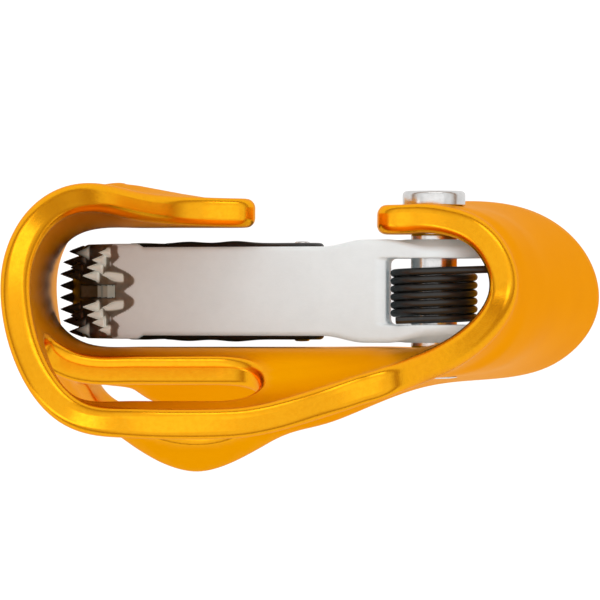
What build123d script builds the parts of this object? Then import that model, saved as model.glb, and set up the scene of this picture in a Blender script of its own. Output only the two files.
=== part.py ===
from build123d import *
import os
from functools import cache
from math import cos, radians, sin, sqrt

import numpy as np

# A compact rope-clamp ascender: a bent, toothless channel plate and a spring-closed toothed cam.
# Frame of the model: origin on the rope's centre line, level with the cam axle and half-way
# between the cam's ears. +Z runs up along the rope, -Y is the open front side, +X points from
# the axle towards the bend the rope lies in.
# Profiles are drawn with x measured from the cam axle, at x = axle_x in the model's frame.
# All sizes are in mm. Cutters reach a little or a lot past the body they cut.

axle_x = -43.5
plate_t = 3.6
tab_mid_y = -8.955           # middle of the front side of the plate at the axle
back_mid_y = 8.91            # middle of its rear side
tab_inner_y = tab_mid_y + plate_t / 2
back_inner_y = back_mid_y - plate_t / 2
boss_r = 6.2                 # cam boss around the axle
core_half_w = 4.6            # cam arm between the cheeks of the catch, half width
catch_x, catch_z = 16.5, -7.4   # pivot of the safety catch
catch_pin_d = 2.0
end_chamfer = 0.2            # on the ends of the sleeve and of the catch pin
clear_y = 9                  # beyond both sides of the cam and the catch

os.makedirs("parts", exist_ok=True)


def save(part, name):
    part.label = name
    export_step(part, f"parts/{name}.step")


def side_plane(y):
    """Plane across Y, facing -Y: local x is +X and local y is +Z."""
    return Plane(origin=(axle_x, y, 0), x_dir=(1, 0, 0), z_dir=(0, -1, 0))


def level_plane(z):
    """Plane across Z, facing +Z: local x is +X and local y is +Y."""
    return Plane(origin=(axle_x, 0, z), x_dir=(1, 0, 0), z_dir=(0, 0, 1))


axle_line = Axis((axle_x, 0, 0), (0, 1, 0))


# ---------------------------------------------------------------- interpolation
def table(xs, ys):
    """A monotone cubic through (xs, ys), straight beyond its ends."""
    xs, ys = np.array(xs, float), np.array(ys, float)
    gaps = np.diff(xs)
    chords = np.diff(ys) / gaps
    slopes = np.zeros(len(xs))
    slopes[0], slopes[-1] = chords[0], chords[-1]
    for i in range(1, len(xs) - 1):
        before, after = chords[i - 1], chords[i]
        if before * after > 0:
            slopes[i] = 3 * (gaps[i - 1] + gaps[i]) / (
                (2 * gaps[i] + gaps[i - 1]) / after + (gaps[i] + 2 * gaps[i - 1]) / before
            )

    def value(x):
        x = float(x)
        if x <= xs[0]:
            return float(ys[0] + (x - xs[0]) * slopes[0])
        if x >= xs[-1]:
            return float(ys[-1] + (x - xs[-1]) * slopes[-1])
        i = int(np.searchsorted(xs, x)) - 1
        t = (x - xs[i]) / gaps[i]
        return float(
            (2 * t**3 - 3 * t**2 + 1) * ys[i]
            + (t**3 - 2 * t**2 + t) * gaps[i] * slopes[i]
            + (3 * t**2 - 2 * t**3) * ys[i + 1]
            + (t**3 - t**2) * gaps[i] * slopes[i + 1]
        )

    return value


def natural(params, points):
    """A natural cubic spline through the points at the given parameters."""
    params, points = np.array(params, float), np.array(points, float)
    if points.ndim == 1:
        points = points[:, None]
    count, gaps = len(params), np.diff(params)
    matrix, right = np.eye(count), np.zeros_like(points)
    for i in range(1, count - 1):
        matrix[i, i - 1 : i + 2] = gaps[i - 1], 2 * (gaps[i - 1] + gaps[i]), gaps[i]
        right[i] = 6 * (
            (points[i + 1] - points[i]) / gaps[i] - (points[i] - points[i - 1]) / gaps[i - 1]
        )
    bends = np.linalg.solve(matrix, right)   # second derivatives

    def value(param):
        i = min(max(int(np.searchsorted(params, param)) - 1, 0), count - 2)
        ahead, past, gap = params[i + 1] - param, param - params[i], gaps[i]
        return (
            (bends[i] * ahead**3 + bends[i + 1] * past**3) / (6 * gap)
            + (points[i] / gap - bends[i] * gap / 6) * ahead
            + (points[i + 1] / gap - bends[i + 1] * gap / 6) * past
        )

    return value


# ---------------------------------------------------------------- bent plate
channel_x, channel_y = 41.625, -0.54   # centre of the rope-channel bend
channel_r = 9.495                      # reach of that bend in X
flange_min_x = 22.41                   # edge of the front flange at its widest
back_end_x = 12.6                      # last station of the back before the wrap round the axle
tab_end_x = 7.1
tab_top_z = 7.25
tab_corner_r = 4.6
corner_over = 2                        # how far the corner cutter stands proud
axle_hole_d = 4.04
bottom_shift = 0.45   # the lower outline, moved towards the channel along the plate

# Tables of the middle surface: stations first, values second.
# The back steps back (+Y) above the cam and leans back towards the lower eye: by height z ...
step_back = table(
    [0, 10.8, 14.4, 18, 21.6, 25.2, 28.8, 32.4, 36, 41.4],
    [0, 0, 0.27, 1.08, 2.61, 4.41, 5.76, 6.57, 7.11, 7.74],
)
lean_back = table(
    [-75.6, -66.6, -59.4, -54, -48.6, -41.4, -34.2, -28.8, -23.4, -18, 0],
    [19.4, 14.5, 10.95, 8.46, 6.84, 4.77, 2.79, 1.44, 0.45, 0, 0],
)
# ... and the share of each by x
step_share = table([-6.5, -2, 2, 5.94, 13.23, 20.34, 25.2, 54], [0, 0.08, 0.25, 0.42, 0.7, 0.93, 1, 1])
lean_share = table([-22.5, -13.5, -7.2, 0, 7.2, 14.4, 54], [0.06, 0.10, 0.20, 0.33, 0.55, 1, 1])
# front flange by z: y at the channel, y at its edge, and x of its edge
flange_root = table(
    [-54, -45, -31.5, -13.5, 4.5, 15.3, 22.5, 36],
    [-14.22, -12.78, -10.98, -9.9, -10.35, -11.43, -12.15, -13.5],
)
flange_tip = table([-54, -45, -31.5, -13.5, 4.5, 36], [-12.3, -11.75, -10.9, -9.9, -9.765, -9.81])
flange_edge_x = table(
    [-50.4, -41.4, -27, -10.8, -3.6, 36], [38.25, 35.1, 29.25, 23.76, flange_min_x, flange_min_x]
)
# wrap round the axle by z: reach in X of its rear and front corners, and y of the tab
wrap_rear_r = table(
    [-54, -36, -18, -4, 3, 10, 20, 28, 36], [12.6, 12.6, 10.8, 8.7, 8.7, 11.3, 11.3, 9.6, 8.4]
)
wrap_front_r = table([-54, -36, -12, -4, 3, 9, 36], [11.7, 11.7, 9.9, 8.3, 8.3, 9.9, 9.9])
tab_y = table(
    [-54, -40.5, -27, -13.5, -4.5, 36], [-11.35, -10.95, -10.3, -9.36, tab_mid_y, tab_mid_y]
)


def back_y(x, z):
    return back_mid_y + step_back(z) * step_share(x) + lean_back(z) * lean_share(x)


def flange_y(x, z):
    share = min(1, max(0, (x - flange_min_x) / (channel_x - flange_min_x)))
    blend = share * share * (3 - 2 * share) * 0.6 + share * 0.4
    return flange_tip(z) + (flange_root(z) - flange_tip(z)) * blend


def wrap_x(z):
    """The -X extreme of the plate's middle line."""
    return -7.93 - 0.25 * (12.15 - z)


def plate_section(z):
    """Middle line of the plate at the height z, from the edge of the front flange to the tab end."""
    points = []
    edge_x = flange_edge_x(z)
    for share in (0, 0.25, 0.5, 0.78):
        x = edge_x + (channel_x - edge_x) * share
        points.append((x, flange_y(x, z)))
    front_reach, rear_reach = channel_y - flange_root(z), back_y(channel_x, z) - channel_y
    for angle in (-90, -67.5, -45, -22.5, 0, 22.5, 45, 67.5, 90):
        reach = front_reach if angle < 0 else rear_reach
        turn = radians(angle)
        points.append((channel_x + channel_r * cos(turn), channel_y + reach * sin(turn)))
    wrap_end, rear_r, front_r = wrap_x(z), wrap_rear_r(z), wrap_front_r(z)
    rear_x, front_x = wrap_end + rear_r, wrap_end + front_r
    for x in (37.8, 34.2, 30.6, 27, 23.4, 19.8, 16.2, back_end_x, (back_end_x + rear_x) / 2):
        points.append((x, back_y(x, z)))
    rear_y, front_y = back_y(rear_x, z), tab_y(z)
    for angle in (90, 60, 30, 0):
        points.append((rear_x - rear_r * cos(radians(angle)), rear_y * sin(radians(angle))))
    for angle in (30, 60, 90):
        points.append((front_x - front_r * cos(radians(angle)), front_y * sin(radians(angle))))
    points.append(((front_x + tab_end_x) / 2, front_y))
    points.append((tab_end_x, front_y))
    return np.array(points)


# height of the upper and lower outline of the plate at the points of plate_section
outline_top = [
    1.8, 2.7, 4.95, 11.25, 16.65, 19.8, 22.5, 24.48, 26.1, 27.45, 29.25, 31.05, 33.12, 34.92,
    35.73, 36, 35.82, 35.1, 33.84, 32.22, 30.42, 28.35, 26.55, 21.6, 16.47, 12.15, 10.35, 9,
    8.1, 7.74, 6.84,
]
outline_bottom = [
    -37.8, -41.4, -44.1, -45.45, -45.9, -46.17, -46.35, -46.35, -46.35, -46.35, -47.25, -50.4,
    -55.35, -61.65, -65.43, -66.87, -65.52, -62.1, -57.78, -54, -51.3, -48.6, -46.35, -44.55,
    -43.65, -42.3, -38.7, -32.4, -24.3, -15.3, -7.2,
]
# share of the plate's length at each of those points, taken on one section
level_steps = np.linalg.norm(np.diff(plate_section(-4.5), axis=0), axis=1)
arc = np.concatenate([[0], np.cumsum(level_steps)])
plate_length = arc[-1]
arc /= plate_length
top_line, bottom_line = natural(arc, outline_top), natural(arc, outline_bottom)


@cache
def section_curve(z):
    return natural(arc, plate_section(z))


def plate_point(share, z):
    z = round(z, 3)
    x, y = section_curve(z)(share)
    return np.array([x, y, z])


def plate_sheet(offset, columns=60, rows=20):
    """Points of one face of the plate, offset from its middle along the plate's normal."""
    sheet = []
    for share in np.linspace(0, 1, columns):
        top = float(top_line(share)[0])
        bottom = float(bottom_line(min(share + bottom_shift / plate_length, 1))[0])
        column = []
        for j in range(rows):
            z = bottom + (top - bottom) * j / (rows - 1)
            along = plate_point(min(share + 1e-3, 1), z) - plate_point(max(share - 1e-3, 0), z)
            up = plate_point(share, z + 0.2) - plate_point(share, z - 0.2)
            normal = np.cross(along, up)
            point = plate_point(share, z) + normal / np.linalg.norm(normal) * offset
            column.append(Vector(axle_x + float(point[0]), float(point[1]), float(point[2])))
        sheet.append(column)
    return sheet


def sheet_face(offset):
    return Face.make_surface_from_array_of_points(
        plate_sheet(offset), tol=0.01, smoothing=(1, 1, 1), min_deg=1, max_deg=5
    )


def nearest_edge(face, edge):
    return min(face.edges(), key=lambda other: (other.center() - edge.center()).length)


outer_face, inner_face = sheet_face(plate_t / 2), sheet_face(-plate_t / 2)
rim_faces = [
    Face.make_surface_from_curves(edge, nearest_edge(inner_face, edge))
    for edge in outer_face.edges()
]
blank = Solid(Shell([outer_face, inner_face] + rim_faces))

# upper attachment slot: end radius, height and -X end, then (x, z) of its end in the bend
slot_r, slot_z, slot_start_x = 5.4, 23.4, 21.7
slot_lead = [(45.4, 18.0), (47.7, 18.8), (48.6, 21.2), (48.0, 24.4), (45.8, 27.7), (42.6, 28.8)]
slot_low = (slot_start_x + slot_r, slot_z - slot_r)
slot_high = (slot_start_x + slot_r, slot_z + slot_r)
# lower attachment eye (x, z): wide at the bottom, with a narrower lobe under the rope channel
eye_line = [
    (40.2, -31.2), (42.8, -30.6), (44.6, -32.6), (44.4, -37.0), (43.7, -42.0), (42.6, -46.8),
    (40.0, -51.8), (36.0, -55.8), (30.8, -57.5), (26.2, -55.8), (23.6, -51.2), (24.2, -46.4),
    (27.6, -43.2), (32.0, -42.0), (35.4, -40.6), (37.3, -37.8), (38.6, -34.2),
]

with BuildPart() as frame:
    add(blank)
    # upper attachment slot, through the rear wall and into the channel bend
    with BuildSketch(side_plane(2.7)):
        with BuildLine():
            Line(slot_low, slot_lead[0])
            Spline(*slot_lead, tangents=((1, 0), (-1, 0)))
            Line(slot_lead[-1], slot_high)
            ThreePointArc(slot_high, (slot_start_x, slot_z), slot_low)
        make_face()
    extrude(amount=-30, mode=Mode.SUBTRACT)
    # lower attachment eye
    with BuildSketch(side_plane(4)):
        with BuildLine():
            Spline(*eye_line, periodic=True)
        make_face()
    extrude(amount=-36, mode=Mode.SUBTRACT)
    # rounded upper corner of the tab
    with BuildSketch(side_plane(-5.5)):
        corner_shift = (corner_over - tab_corner_r) / 2
        with Locations((tab_end_x + corner_shift, tab_top_z + corner_shift)):
            Rectangle(tab_corner_r + corner_over, tab_corner_r + corner_over)
        with Locations((tab_end_x - tab_corner_r, tab_top_z - tab_corner_r)):
            Circle(tab_corner_r, mode=Mode.SUBTRACT)
    extrude(amount=8, mode=Mode.SUBTRACT)
    # axle hole through the front side, then the rear one
    for start_y, depth in ((-4, 12), (4, -12)):
        with BuildSketch(side_plane(start_y)):
            Circle(axle_hole_d / 2)
        extrude(amount=depth, mode=Mode.SUBTRACT)
save(frame.part, "frame")

# ---------------------------------------------------------------- cam axle: a rivet
shank_r = 4.0 / 2
head_r, head_h = 7.9 / 2, 1.8
head_bevel, head_bevel_h = 0.5, 0.45
tail_r, tail_h = 5.8 / 2, 0.25        # peened end
tail_bevel, tail_rim_h = 0.6, 0.08
seat_gap = 0.1                        # between the plate and the rivet's two ends
head_seat_y = tab_inner_y - plate_t - seat_gap
tail_seat_y = back_inner_y + plate_t + seat_gap

with BuildPart() as cam_axle:
    with BuildSketch(level_plane(0)):
        with BuildLine():
            Polyline(
                (0, head_seat_y - head_h),
                (head_r - head_bevel, head_seat_y - head_h),
                (head_r, head_seat_y - head_h + head_bevel_h),
                (head_r, head_seat_y),
                (shank_r, head_seat_y),
                (shank_r, tail_seat_y),
                (tail_r, tail_seat_y),
                (tail_r, tail_seat_y + tail_rim_h),
                (tail_r - tail_bevel, tail_seat_y + tail_h),
                (0, tail_seat_y + tail_h),
                close=True,
            )
        make_face()
    revolve(axis=axle_line)
save(cam_axle.part, "cam_axle")

# ---------------------------------------------------------------- bush between the plate sides
sleeve_d = 5.8
sleeve_bore_d = 4.1
sleeve_gap = 0.04   # at each end

with BuildPart() as axle_sleeve:
    with BuildSketch(side_plane(back_inner_y - sleeve_gap)):
        Circle(sleeve_d / 2)
        Circle(sleeve_bore_d / 2, mode=Mode.SUBTRACT)
    extrude(amount=back_inner_y - tab_inner_y - 2 * sleeve_gap)
    chamfer(axle_sleeve.edges().filter_by(GeomType.CIRCLE), length=end_chamfer)
save(axle_sleeve.part, "axle_sleeve")

# ---------------------------------------------------------------- cam
cam_bore_d = 5.9
arm_half_w = 5.6
head_half_w = 6.05                       # toothed head
head_start_x, head_full_x = 36.7, 37.5   # where the arm widens into the head
ear_half_w = 6.45
ear_skin = 0.01                          # keeps cutters just off the ears' flat sides
ear_runout_x, ear_end_x = 8.2, 13.4      # where the ears run out into the arm
ear_cone_r, ear_cone_end_r = 3.6, boss_r + 1.6   # conical fall of the ears' outside
ear_cone_end_y = 4.23
window_front_y, window_rear_y = -4.1, 4.2   # spring window between the ears
window_x, window_len = 6.2, 20              # its +X end, and its length towards -X
face_edge_x = 46.4                       # where the flat middle of the toothed face ends
face_flat_y = 3.0                        # half width of that flat
face_side_y, face_drop = 6.2, 1.9        # the face falls by face_drop in x on the way to here
dirt_slot_half_w = 0.85
pocket_half_w = 2.2

arm_slope = 0.4103                            # fall of the arm's top face
slope_len = sqrt(1 + arm_slope**2)
boss_tangent = (boss_r * arm_slope / slope_len, boss_r / slope_len)   # top face meets the boss


def arm_top(x):
    return boss_r * slope_len - arm_slope * x


# outlines as (x, z): toothed face downwards, then the underside back towards the boss
face_pts = [
    (39.4, arm_top(39.4)), (41.5, -12.4), (43.6, -16.6), (45.2, -21.0), (46.2, -25.4),
    (46.5, -29.4), (46.2, -33.4), (45.3, -37.2),
]
under_pts = [
    (43.2, -38.3), (39.6, -33.8), (34.2, -26.6), (27.0, -18.8), (19.8, -13.2), (12.0, -9.0),
    (5.0, -6.6),
]
# recesses for the cheeks of the catch
cheek_line = [
    (12.6, -3.7), (17.0, -3.7), (24.0, -7.6), (31.5, -12.4), (38.7, -17.4), (40.0, -20.6),
    (40.0, -45), (12.6, -45),
]
dirt_slot_line = [
    (41.2, -8.0), (50.0, -8.0), (50.0, -25.6), (44.0, -25.6), (41.0, -20.0), (40.4, -13.6),
]
pocket_line = [(13.4, -4.4), (20.2, -4.4), (22.5, -9.0), (22.5, -20), (13.4, -20)]

# conical teeth in V rows, placed by the length along the face and by y
tooth_rows, row_pitch, row_start = 9, 3.3, -1.6
tooth_ys = (1.25, 2.5, 3.75, 5.0)
row_rake = 0.9                  # how much further down the face a tooth sits per mm towards y = 0
face_margins = 1.0, 0.8         # toothless length at the top and the bottom of the face
tooth_r, tooth_h = 0.92, 1.75
first_tooth_r, first_tooth_h = 1.3, 2.5   # the uppermost pair
first_tooth_end = 2.2
tooth_tip_r = 0.06
tooth_sink = 0.25               # depth of the cones in the face
inner_y, inner_shift, inner_end_z = 2, 0.5, -27   # teeth inside inner_y move out above inner_end_z

face_curve = natural(np.linspace(0, 1, len(face_pts)), face_pts)
face_steps = np.diff([face_curve(share) for share in np.linspace(0, 1, 60)], axis=0)
face_len = float(np.sum(np.linalg.norm(face_steps, axis=1)))


def face_at(share):
    """Point of the toothed face and its outward normal."""
    before, after = face_curve(max(share - 0.005, 0)), face_curve(min(share + 0.005, 1))
    run = (after - before) / np.linalg.norm(after - before)
    x, z = face_curve(share)
    return float(x), float(z), float(-run[1]), float(run[0])


def tooth_spots():
    """Planes of the ordinary teeth and of the larger first ones."""
    small, large = [], []
    for row in range(tooth_rows):
        for y in tooth_ys:
            along = row_start + row_pitch * row + (tooth_ys[-1] - y) * row_rake
            if not face_margins[0] < along < face_len - face_margins[1]:
                continue
            x, z, normal_x, normal_z = face_at(along / face_len)
            if y < inner_y and z > inner_end_z:
                y += inner_shift
            side_fall = max(0, y - face_flat_y) * face_drop / (face_side_y - face_flat_y)
            x = min(x, face_edge_x - side_fall)
            root_x, root_z = x - normal_x * tooth_sink, z - normal_z * tooth_sink
            group = large if along < first_tooth_end and y < inner_y else small
            for side in (1, -1):
                group.append(Plane(
                    origin=(axle_x + root_x, side * y, root_z),
                    x_dir=(0, 1, 0), z_dir=(normal_x, 0, normal_z),
                ))
    return small, large


with BuildPart() as cam:
    # the arm, as wide as its head
    with BuildSketch(side_plane(0)):
        with BuildLine():
            Line(boss_tangent, face_pts[0])
            Spline(*face_pts)
            ThreePointArc(face_pts[-1], (44.5, -38.4), under_pts[0])
            Spline(*under_pts)
            Line(under_pts[-1], (0, -boss_r))
            ThreePointArc((0, -boss_r), (-boss_r, 0), boss_tangent)
        make_face()
    extrude(amount=head_half_w, both=True)
    for side in (1, -1):
        # the arm between head and ears is narrower than the head
        with BuildSketch(level_plane(-60)):
            with BuildLine():
                Polyline(
                    (5.0, side * clear_y),
                    (5.0, side * arm_half_w),
                    (head_start_x, side * arm_half_w),
                    (head_full_x, side * head_half_w),
                    (head_full_x, side * clear_y),
                    close=True,
                )
            make_face()
        extrude(amount=80, mode=Mode.SUBTRACT)
        # recess for the cheek of the catch
        with BuildSketch(side_plane(side * core_half_w)):
            with BuildLine():
                Polyline(*cheek_line, close=True)
            make_face()
        extrude(amount=-side * 4, mode=Mode.SUBTRACT)
    # ears, wider than the arm
    with BuildSketch(side_plane(0)):
        with BuildLine():
            Polyline(
                boss_tangent, (ear_end_x, arm_top(ear_end_x)), (ear_end_x, -3.2), (9.5, -7.9),
                under_pts[-1], (0, -boss_r),
            )
            ThreePointArc((0, -boss_r), (-boss_r, 0), boss_tangent)
        make_face()
    extrude(amount=ear_half_w, both=True)
    for side in (1, -1):
        # smooth run-out of the ears into the arm
        with BuildSketch(level_plane(-30)):
            with BuildLine():
                Polyline(
                    (ear_runout_x, side * clear_y),
                    (ear_runout_x, side * (ear_half_w + ear_skin)),
                    (ear_end_x, side * arm_half_w),
                    (ear_end_x, side * clear_y),
                    close=True,
                )
            make_face()
        extrude(amount=60, mode=Mode.SUBTRACT)
        # the outside of the ears falls away conically around the boss
        with BuildSketch(level_plane(0)):
            with BuildLine():
                Polyline(
                    (ear_cone_r, side * (ear_half_w + ear_skin)),
                    (ear_cone_end_r, side * ear_cone_end_y),
                    (ear_cone_end_r, side * clear_y),
                    (ear_cone_r, side * clear_y),
                    close=True,
                )
            make_face()
        revolve(axis=axle_line, mode=Mode.SUBTRACT)
    # spring window, open through the -X side of the boss
    with BuildSketch(level_plane(-12)):
        with Locations((window_x - window_len / 2, (window_front_y + window_rear_y) / 2)):
            Rectangle(window_len, window_rear_y - window_front_y)
    extrude(amount=24, mode=Mode.SUBTRACT)
    # axle bore
    with BuildSketch(side_plane(clear_y)):
        Circle(cam_bore_d / 2)
    extrude(amount=2 * clear_y, mode=Mode.SUBTRACT)
    # the toothed face is bevelled towards its sides, like the channel it closes on
    for side in (1, -1):
        with BuildSketch(level_plane(-60)):
            with BuildLine():
                Polyline(
                    (face_edge_x, side * face_flat_y),
                    (face_edge_x - face_drop, side * face_side_y),
                    (60, side * face_side_y),
                    (60, side * face_flat_y),
                    close=True,
                )
            make_face()
        extrude(amount=80, mode=Mode.SUBTRACT)
    # dirt slot in the middle of the toothed face, then the pocket for the catch spring
    for cut_line, half_w in ((dirt_slot_line, dirt_slot_half_w), (pocket_line, pocket_half_w)):
        with BuildSketch(side_plane(0)):
            with BuildLine():
                Polyline(*cut_line, close=True)
            make_face()
        extrude(amount=half_w, both=True, mode=Mode.SUBTRACT)
    # hole for the catch pin
    with BuildSketch(side_plane(clear_y)):
        with Locations((catch_x, catch_z)):
            Circle(catch_pin_d / 2)
    extrude(amount=2 * clear_y, mode=Mode.SUBTRACT)
    # teeth
    small_spots, large_spots = tooth_spots()
    for spots, root_r, height in (
        (small_spots, tooth_r, tooth_h),
        (large_spots, first_tooth_r, first_tooth_h),
    ):
        with Locations(*spots):
            Cone(
                root_r, tooth_tip_r, height + tooth_sink,
                align=(Align.CENTER, Align.CENTER, Align.MIN),
            )
save(cam.part, "cam")

# ---------------------------------------------------------------- safety catch under the cam arm
catch_half_w = 6.4
catch_bore_d = 2.12
core_gap = 0.2          # between a cheek and the arm's core
trigger_half_w = 4.6
# outlines as (x, z)
catch_line = [
    (13.9, -9.2), (14.2, -6.0), (16.6, -4.7), (19.5, -5.9), (24.0, -8.6), (31.5, -13.4),
    (38.2, -18.5), (39.1, -21.4), (39.0, -25.5), (38.4, -30.5), (36.4, -32.4), (34.4, -32.9),
    (33.2, -34.8), (30.8, -37.0), (28.2, -36.6), (26.6, -33.6), (26.0, -28.6), (23.4, -22.6),
    (18.8, -15.8),
]
core_room_line = [
    (5, -7.2), (12.0, -9.4), (19.7, -13.7), (26.8, -19.4), (34.0, -27.2), (39.4, -34.4),
    (60, -34.4), (60, 20), (5, 20),
]
trigger_cut_line = [(10, -60), (10, -20.0), (22.5, -24.4), (31.0, -30.4), (36.0, -34), (36, -60)]

with BuildPart() as safety_catch:
    with BuildSketch(side_plane(0)):
        with BuildLine():
            Spline(*catch_line, periodic=True)
        make_face()
    extrude(amount=catch_half_w, both=True)
    # room for the arm's core
    with BuildSketch(side_plane(0)):
        with BuildLine():
            Polyline(*core_room_line, close=True)
        make_face()
    extrude(amount=core_half_w + core_gap, both=True, mode=Mode.SUBTRACT)
    # the trigger is narrower than the cheeks
    for side in (1, -1):
        with BuildSketch(side_plane(side * trigger_half_w)):
            with BuildLine():
                Polyline(*trigger_cut_line, close=True)
            make_face()
        extrude(amount=-side * 4, mode=Mode.SUBTRACT)
    # bore for the catch pin
    with BuildSketch(side_plane(clear_y)):
        with Locations((catch_x, catch_z)):
            Circle(catch_bore_d / 2)
    extrude(amount=2 * clear_y, mode=Mode.SUBTRACT)
save(safety_catch.part, "safety_catch")

pin_half_len = 6.3
with BuildPart() as catch_pin:
    with BuildSketch(side_plane(pin_half_len)):
        with Locations((catch_x, catch_z)):
            Circle(catch_pin_d / 2)
    extrude(amount=2 * pin_half_len)
    chamfer(catch_pin.edges().filter_by(GeomType.CIRCLE), length=end_chamfer)
save(catch_pin.part, "catch_pin")


# ---------------------------------------------------------------- springs
def torsion_spring(x, start_y, z, wire_d, radius, pitch, turns, first_leg, last_leg):
    """A coil along +Y with straight legs; it starts at its top, the first leg towards -X."""
    plane = Plane(origin=(axle_x + x, start_y, z), x_dir=(0, 0, 1), z_dir=(0, 1, 0))
    with BuildPart() as spring:
        with BuildLine() as wire:
            coil = plane * Helix(
                pitch=pitch, height=pitch * turns, radius=radius, mode=Mode.PRIVATE
            )
            add(coil)
            leg_start = coil.position_at(0) - coil.tangent_at(0) * first_leg
            Line(leg_start, coil.position_at(0))
            Line(coil.position_at(1), coil.position_at(1) + coil.tangent_at(1) * last_leg)
        with BuildSketch(Plane(origin=leg_start, z_dir=coil.tangent_at(0))):
            Circle(wire_d / 2)
        sweep(path=wire.wires()[0], transition=Transition.RIGHT)
    return spring.part


# around the axle bush: first leg to the bend of the plate, last leg towards +X to the cam
cam_spring = torsion_spring(
    x=0, start_y=-2.5, z=0, wire_d=0.95, radius=5.0, pitch=1.0, turns=6,
    first_leg=6.8, last_leg=4.8,
)
save(cam_spring, "cam_spring")

# around the catch pin; after the half turn the last leg points towards -X too
catch_spring = torsion_spring(
    x=catch_x, start_y=-1.0, z=catch_z, wire_d=0.5, radius=1.65, pitch=0.56, turns=3.5,
    first_leg=1.6, last_leg=3.0,
)
save(catch_spring, "catch_spring")
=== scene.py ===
# A toothed-cam clamp: a plate bent round a cam that turns on an axle along Y, with a moulded
# safety catch pinned to the cam and two wire springs.
# Lengths are in mm, x is measured from the axle, and new_object turns them into the frame's metres.
# +X points from the axle to the plate's channel, +Y to its back sheet, +Z to its upper end.
import math

import bpy
import numpy as np
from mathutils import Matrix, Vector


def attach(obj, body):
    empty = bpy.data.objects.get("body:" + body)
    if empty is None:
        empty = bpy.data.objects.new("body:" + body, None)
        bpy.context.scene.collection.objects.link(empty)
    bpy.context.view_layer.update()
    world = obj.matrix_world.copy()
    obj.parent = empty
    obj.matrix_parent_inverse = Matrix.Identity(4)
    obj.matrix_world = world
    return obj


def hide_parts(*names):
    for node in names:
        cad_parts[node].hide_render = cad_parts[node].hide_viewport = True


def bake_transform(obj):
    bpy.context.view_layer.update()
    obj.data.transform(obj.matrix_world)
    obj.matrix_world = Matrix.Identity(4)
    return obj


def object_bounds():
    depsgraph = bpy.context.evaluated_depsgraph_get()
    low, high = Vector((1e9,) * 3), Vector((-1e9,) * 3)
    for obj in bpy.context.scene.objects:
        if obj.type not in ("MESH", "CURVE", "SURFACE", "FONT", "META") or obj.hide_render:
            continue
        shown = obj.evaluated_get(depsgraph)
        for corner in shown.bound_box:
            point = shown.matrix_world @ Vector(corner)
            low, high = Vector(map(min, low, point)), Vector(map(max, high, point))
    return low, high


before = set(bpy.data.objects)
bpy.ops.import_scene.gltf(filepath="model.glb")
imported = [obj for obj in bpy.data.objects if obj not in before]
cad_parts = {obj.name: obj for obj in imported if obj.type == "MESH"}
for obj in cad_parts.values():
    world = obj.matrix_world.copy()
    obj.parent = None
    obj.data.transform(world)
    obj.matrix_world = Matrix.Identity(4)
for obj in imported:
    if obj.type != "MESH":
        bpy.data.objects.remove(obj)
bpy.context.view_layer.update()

import openvdb
from mathutils import Vector
from mathutils.geometry import delaunay_2d_cdt

MM = 0.001
AXLE_X = -43.5              # the cam axle in the frame
PIN_X, PIN_Z = 16.5, -7.4   # the pin that joins the catch to the cam
PLATE_T = 3.6
BACK_Y = 8.91               # middle of the back sheet near the axle
TAB_Y = 8.955               # middle of the front tab near the axle, towards -Y


# ------------------------------------------------------------------ curves and loops
def curve(xs, ys):
    """A smooth function through the stations that doesn't overshoot between them."""
    xs, ys = np.array(xs, float), np.array(ys, float)
    gap, rise = np.diff(xs), np.diff(ys) / np.diff(xs)
    slope = np.zeros(len(xs))
    slope[0], slope[-1] = rise[0], rise[-1]
    for i in range(1, len(xs) - 1):
        if rise[i - 1] * rise[i] > 0:
            slope[i] = 3 * (gap[i - 1] + gap[i]) / (
                (2 * gap[i] + gap[i - 1]) / rise[i - 1] + (gap[i] + 2 * gap[i - 1]) / rise[i])

    def value(x):
        x = float(x)
        if x <= xs[0]:
            return float(ys[0] + (x - xs[0]) * slope[0])
        if x >= xs[-1]:
            return float(ys[-1] + (x - xs[-1]) * slope[-1])
        i = int(np.searchsorted(xs, x)) - 1
        t = (x - xs[i]) / gap[i]
        return float((2 * t**3 - 3 * t**2 + 1) * ys[i]
                     + (t**3 - 2 * t**2 + t) * gap[i] * slope[i]
                     + (3 * t**2 - 2 * t**3) * ys[i + 1] + (t**3 - t**2) * gap[i] * slope[i + 1])

    return value


def spline_matrix(knots, at):
    """The matrix that takes values at the knots to the natural cubic spline's values at at."""
    knots, at = np.array(knots, float), np.array(at, float)
    count, gap = len(knots), np.diff(knots)
    left, right = np.eye(count), np.zeros((count, count))
    for i in range(1, count - 1):
        left[i, i - 1], left[i, i], left[i, i + 1] = gap[i - 1], 2 * (gap[i - 1] + gap[i]), gap[i]
        right[i, i + 1] += 6 / gap[i]
        right[i, i] -= 6 / gap[i] + 6 / gap[i - 1]
        right[i, i - 1] += 6 / gap[i - 1]
    bend = np.linalg.solve(left, right)
    out = np.zeros((len(at), count))
    for k, t in enumerate(at):
        i = min(max(int(np.searchsorted(knots, t)) - 1, 0), count - 2)
        u, v = knots[i + 1] - t, t - knots[i]
        out[k] = (bend[i] * u**3 + bend[i + 1] * v**3) / (6 * gap[i])
        out[k] += -bend[i] * gap[i] / 6 * u - bend[i + 1] * gap[i] / 6 * v
        out[k, i] += u / gap[i]
        out[k, i + 1] += v / gap[i]
    return out


def run_lengths(points):
    """The length travelled from the first point to each point."""
    return np.concatenate([[0], np.cumsum(np.linalg.norm(np.diff(points, axis=0), axis=1))])


def spline_through(points, count, closed=False):
    """count points of a smooth curve through points, spaced by length."""
    points = np.array(points, float)
    if closed:
        points = np.vstack([points[-3:], points, points[:3]])
    run = run_lengths(points)
    start, end = (run[3], run[-3]) if closed else (run[0], run[-1])
    return spline_matrix(run, np.linspace(start, end, count, endpoint=not closed)) @ points


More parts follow.
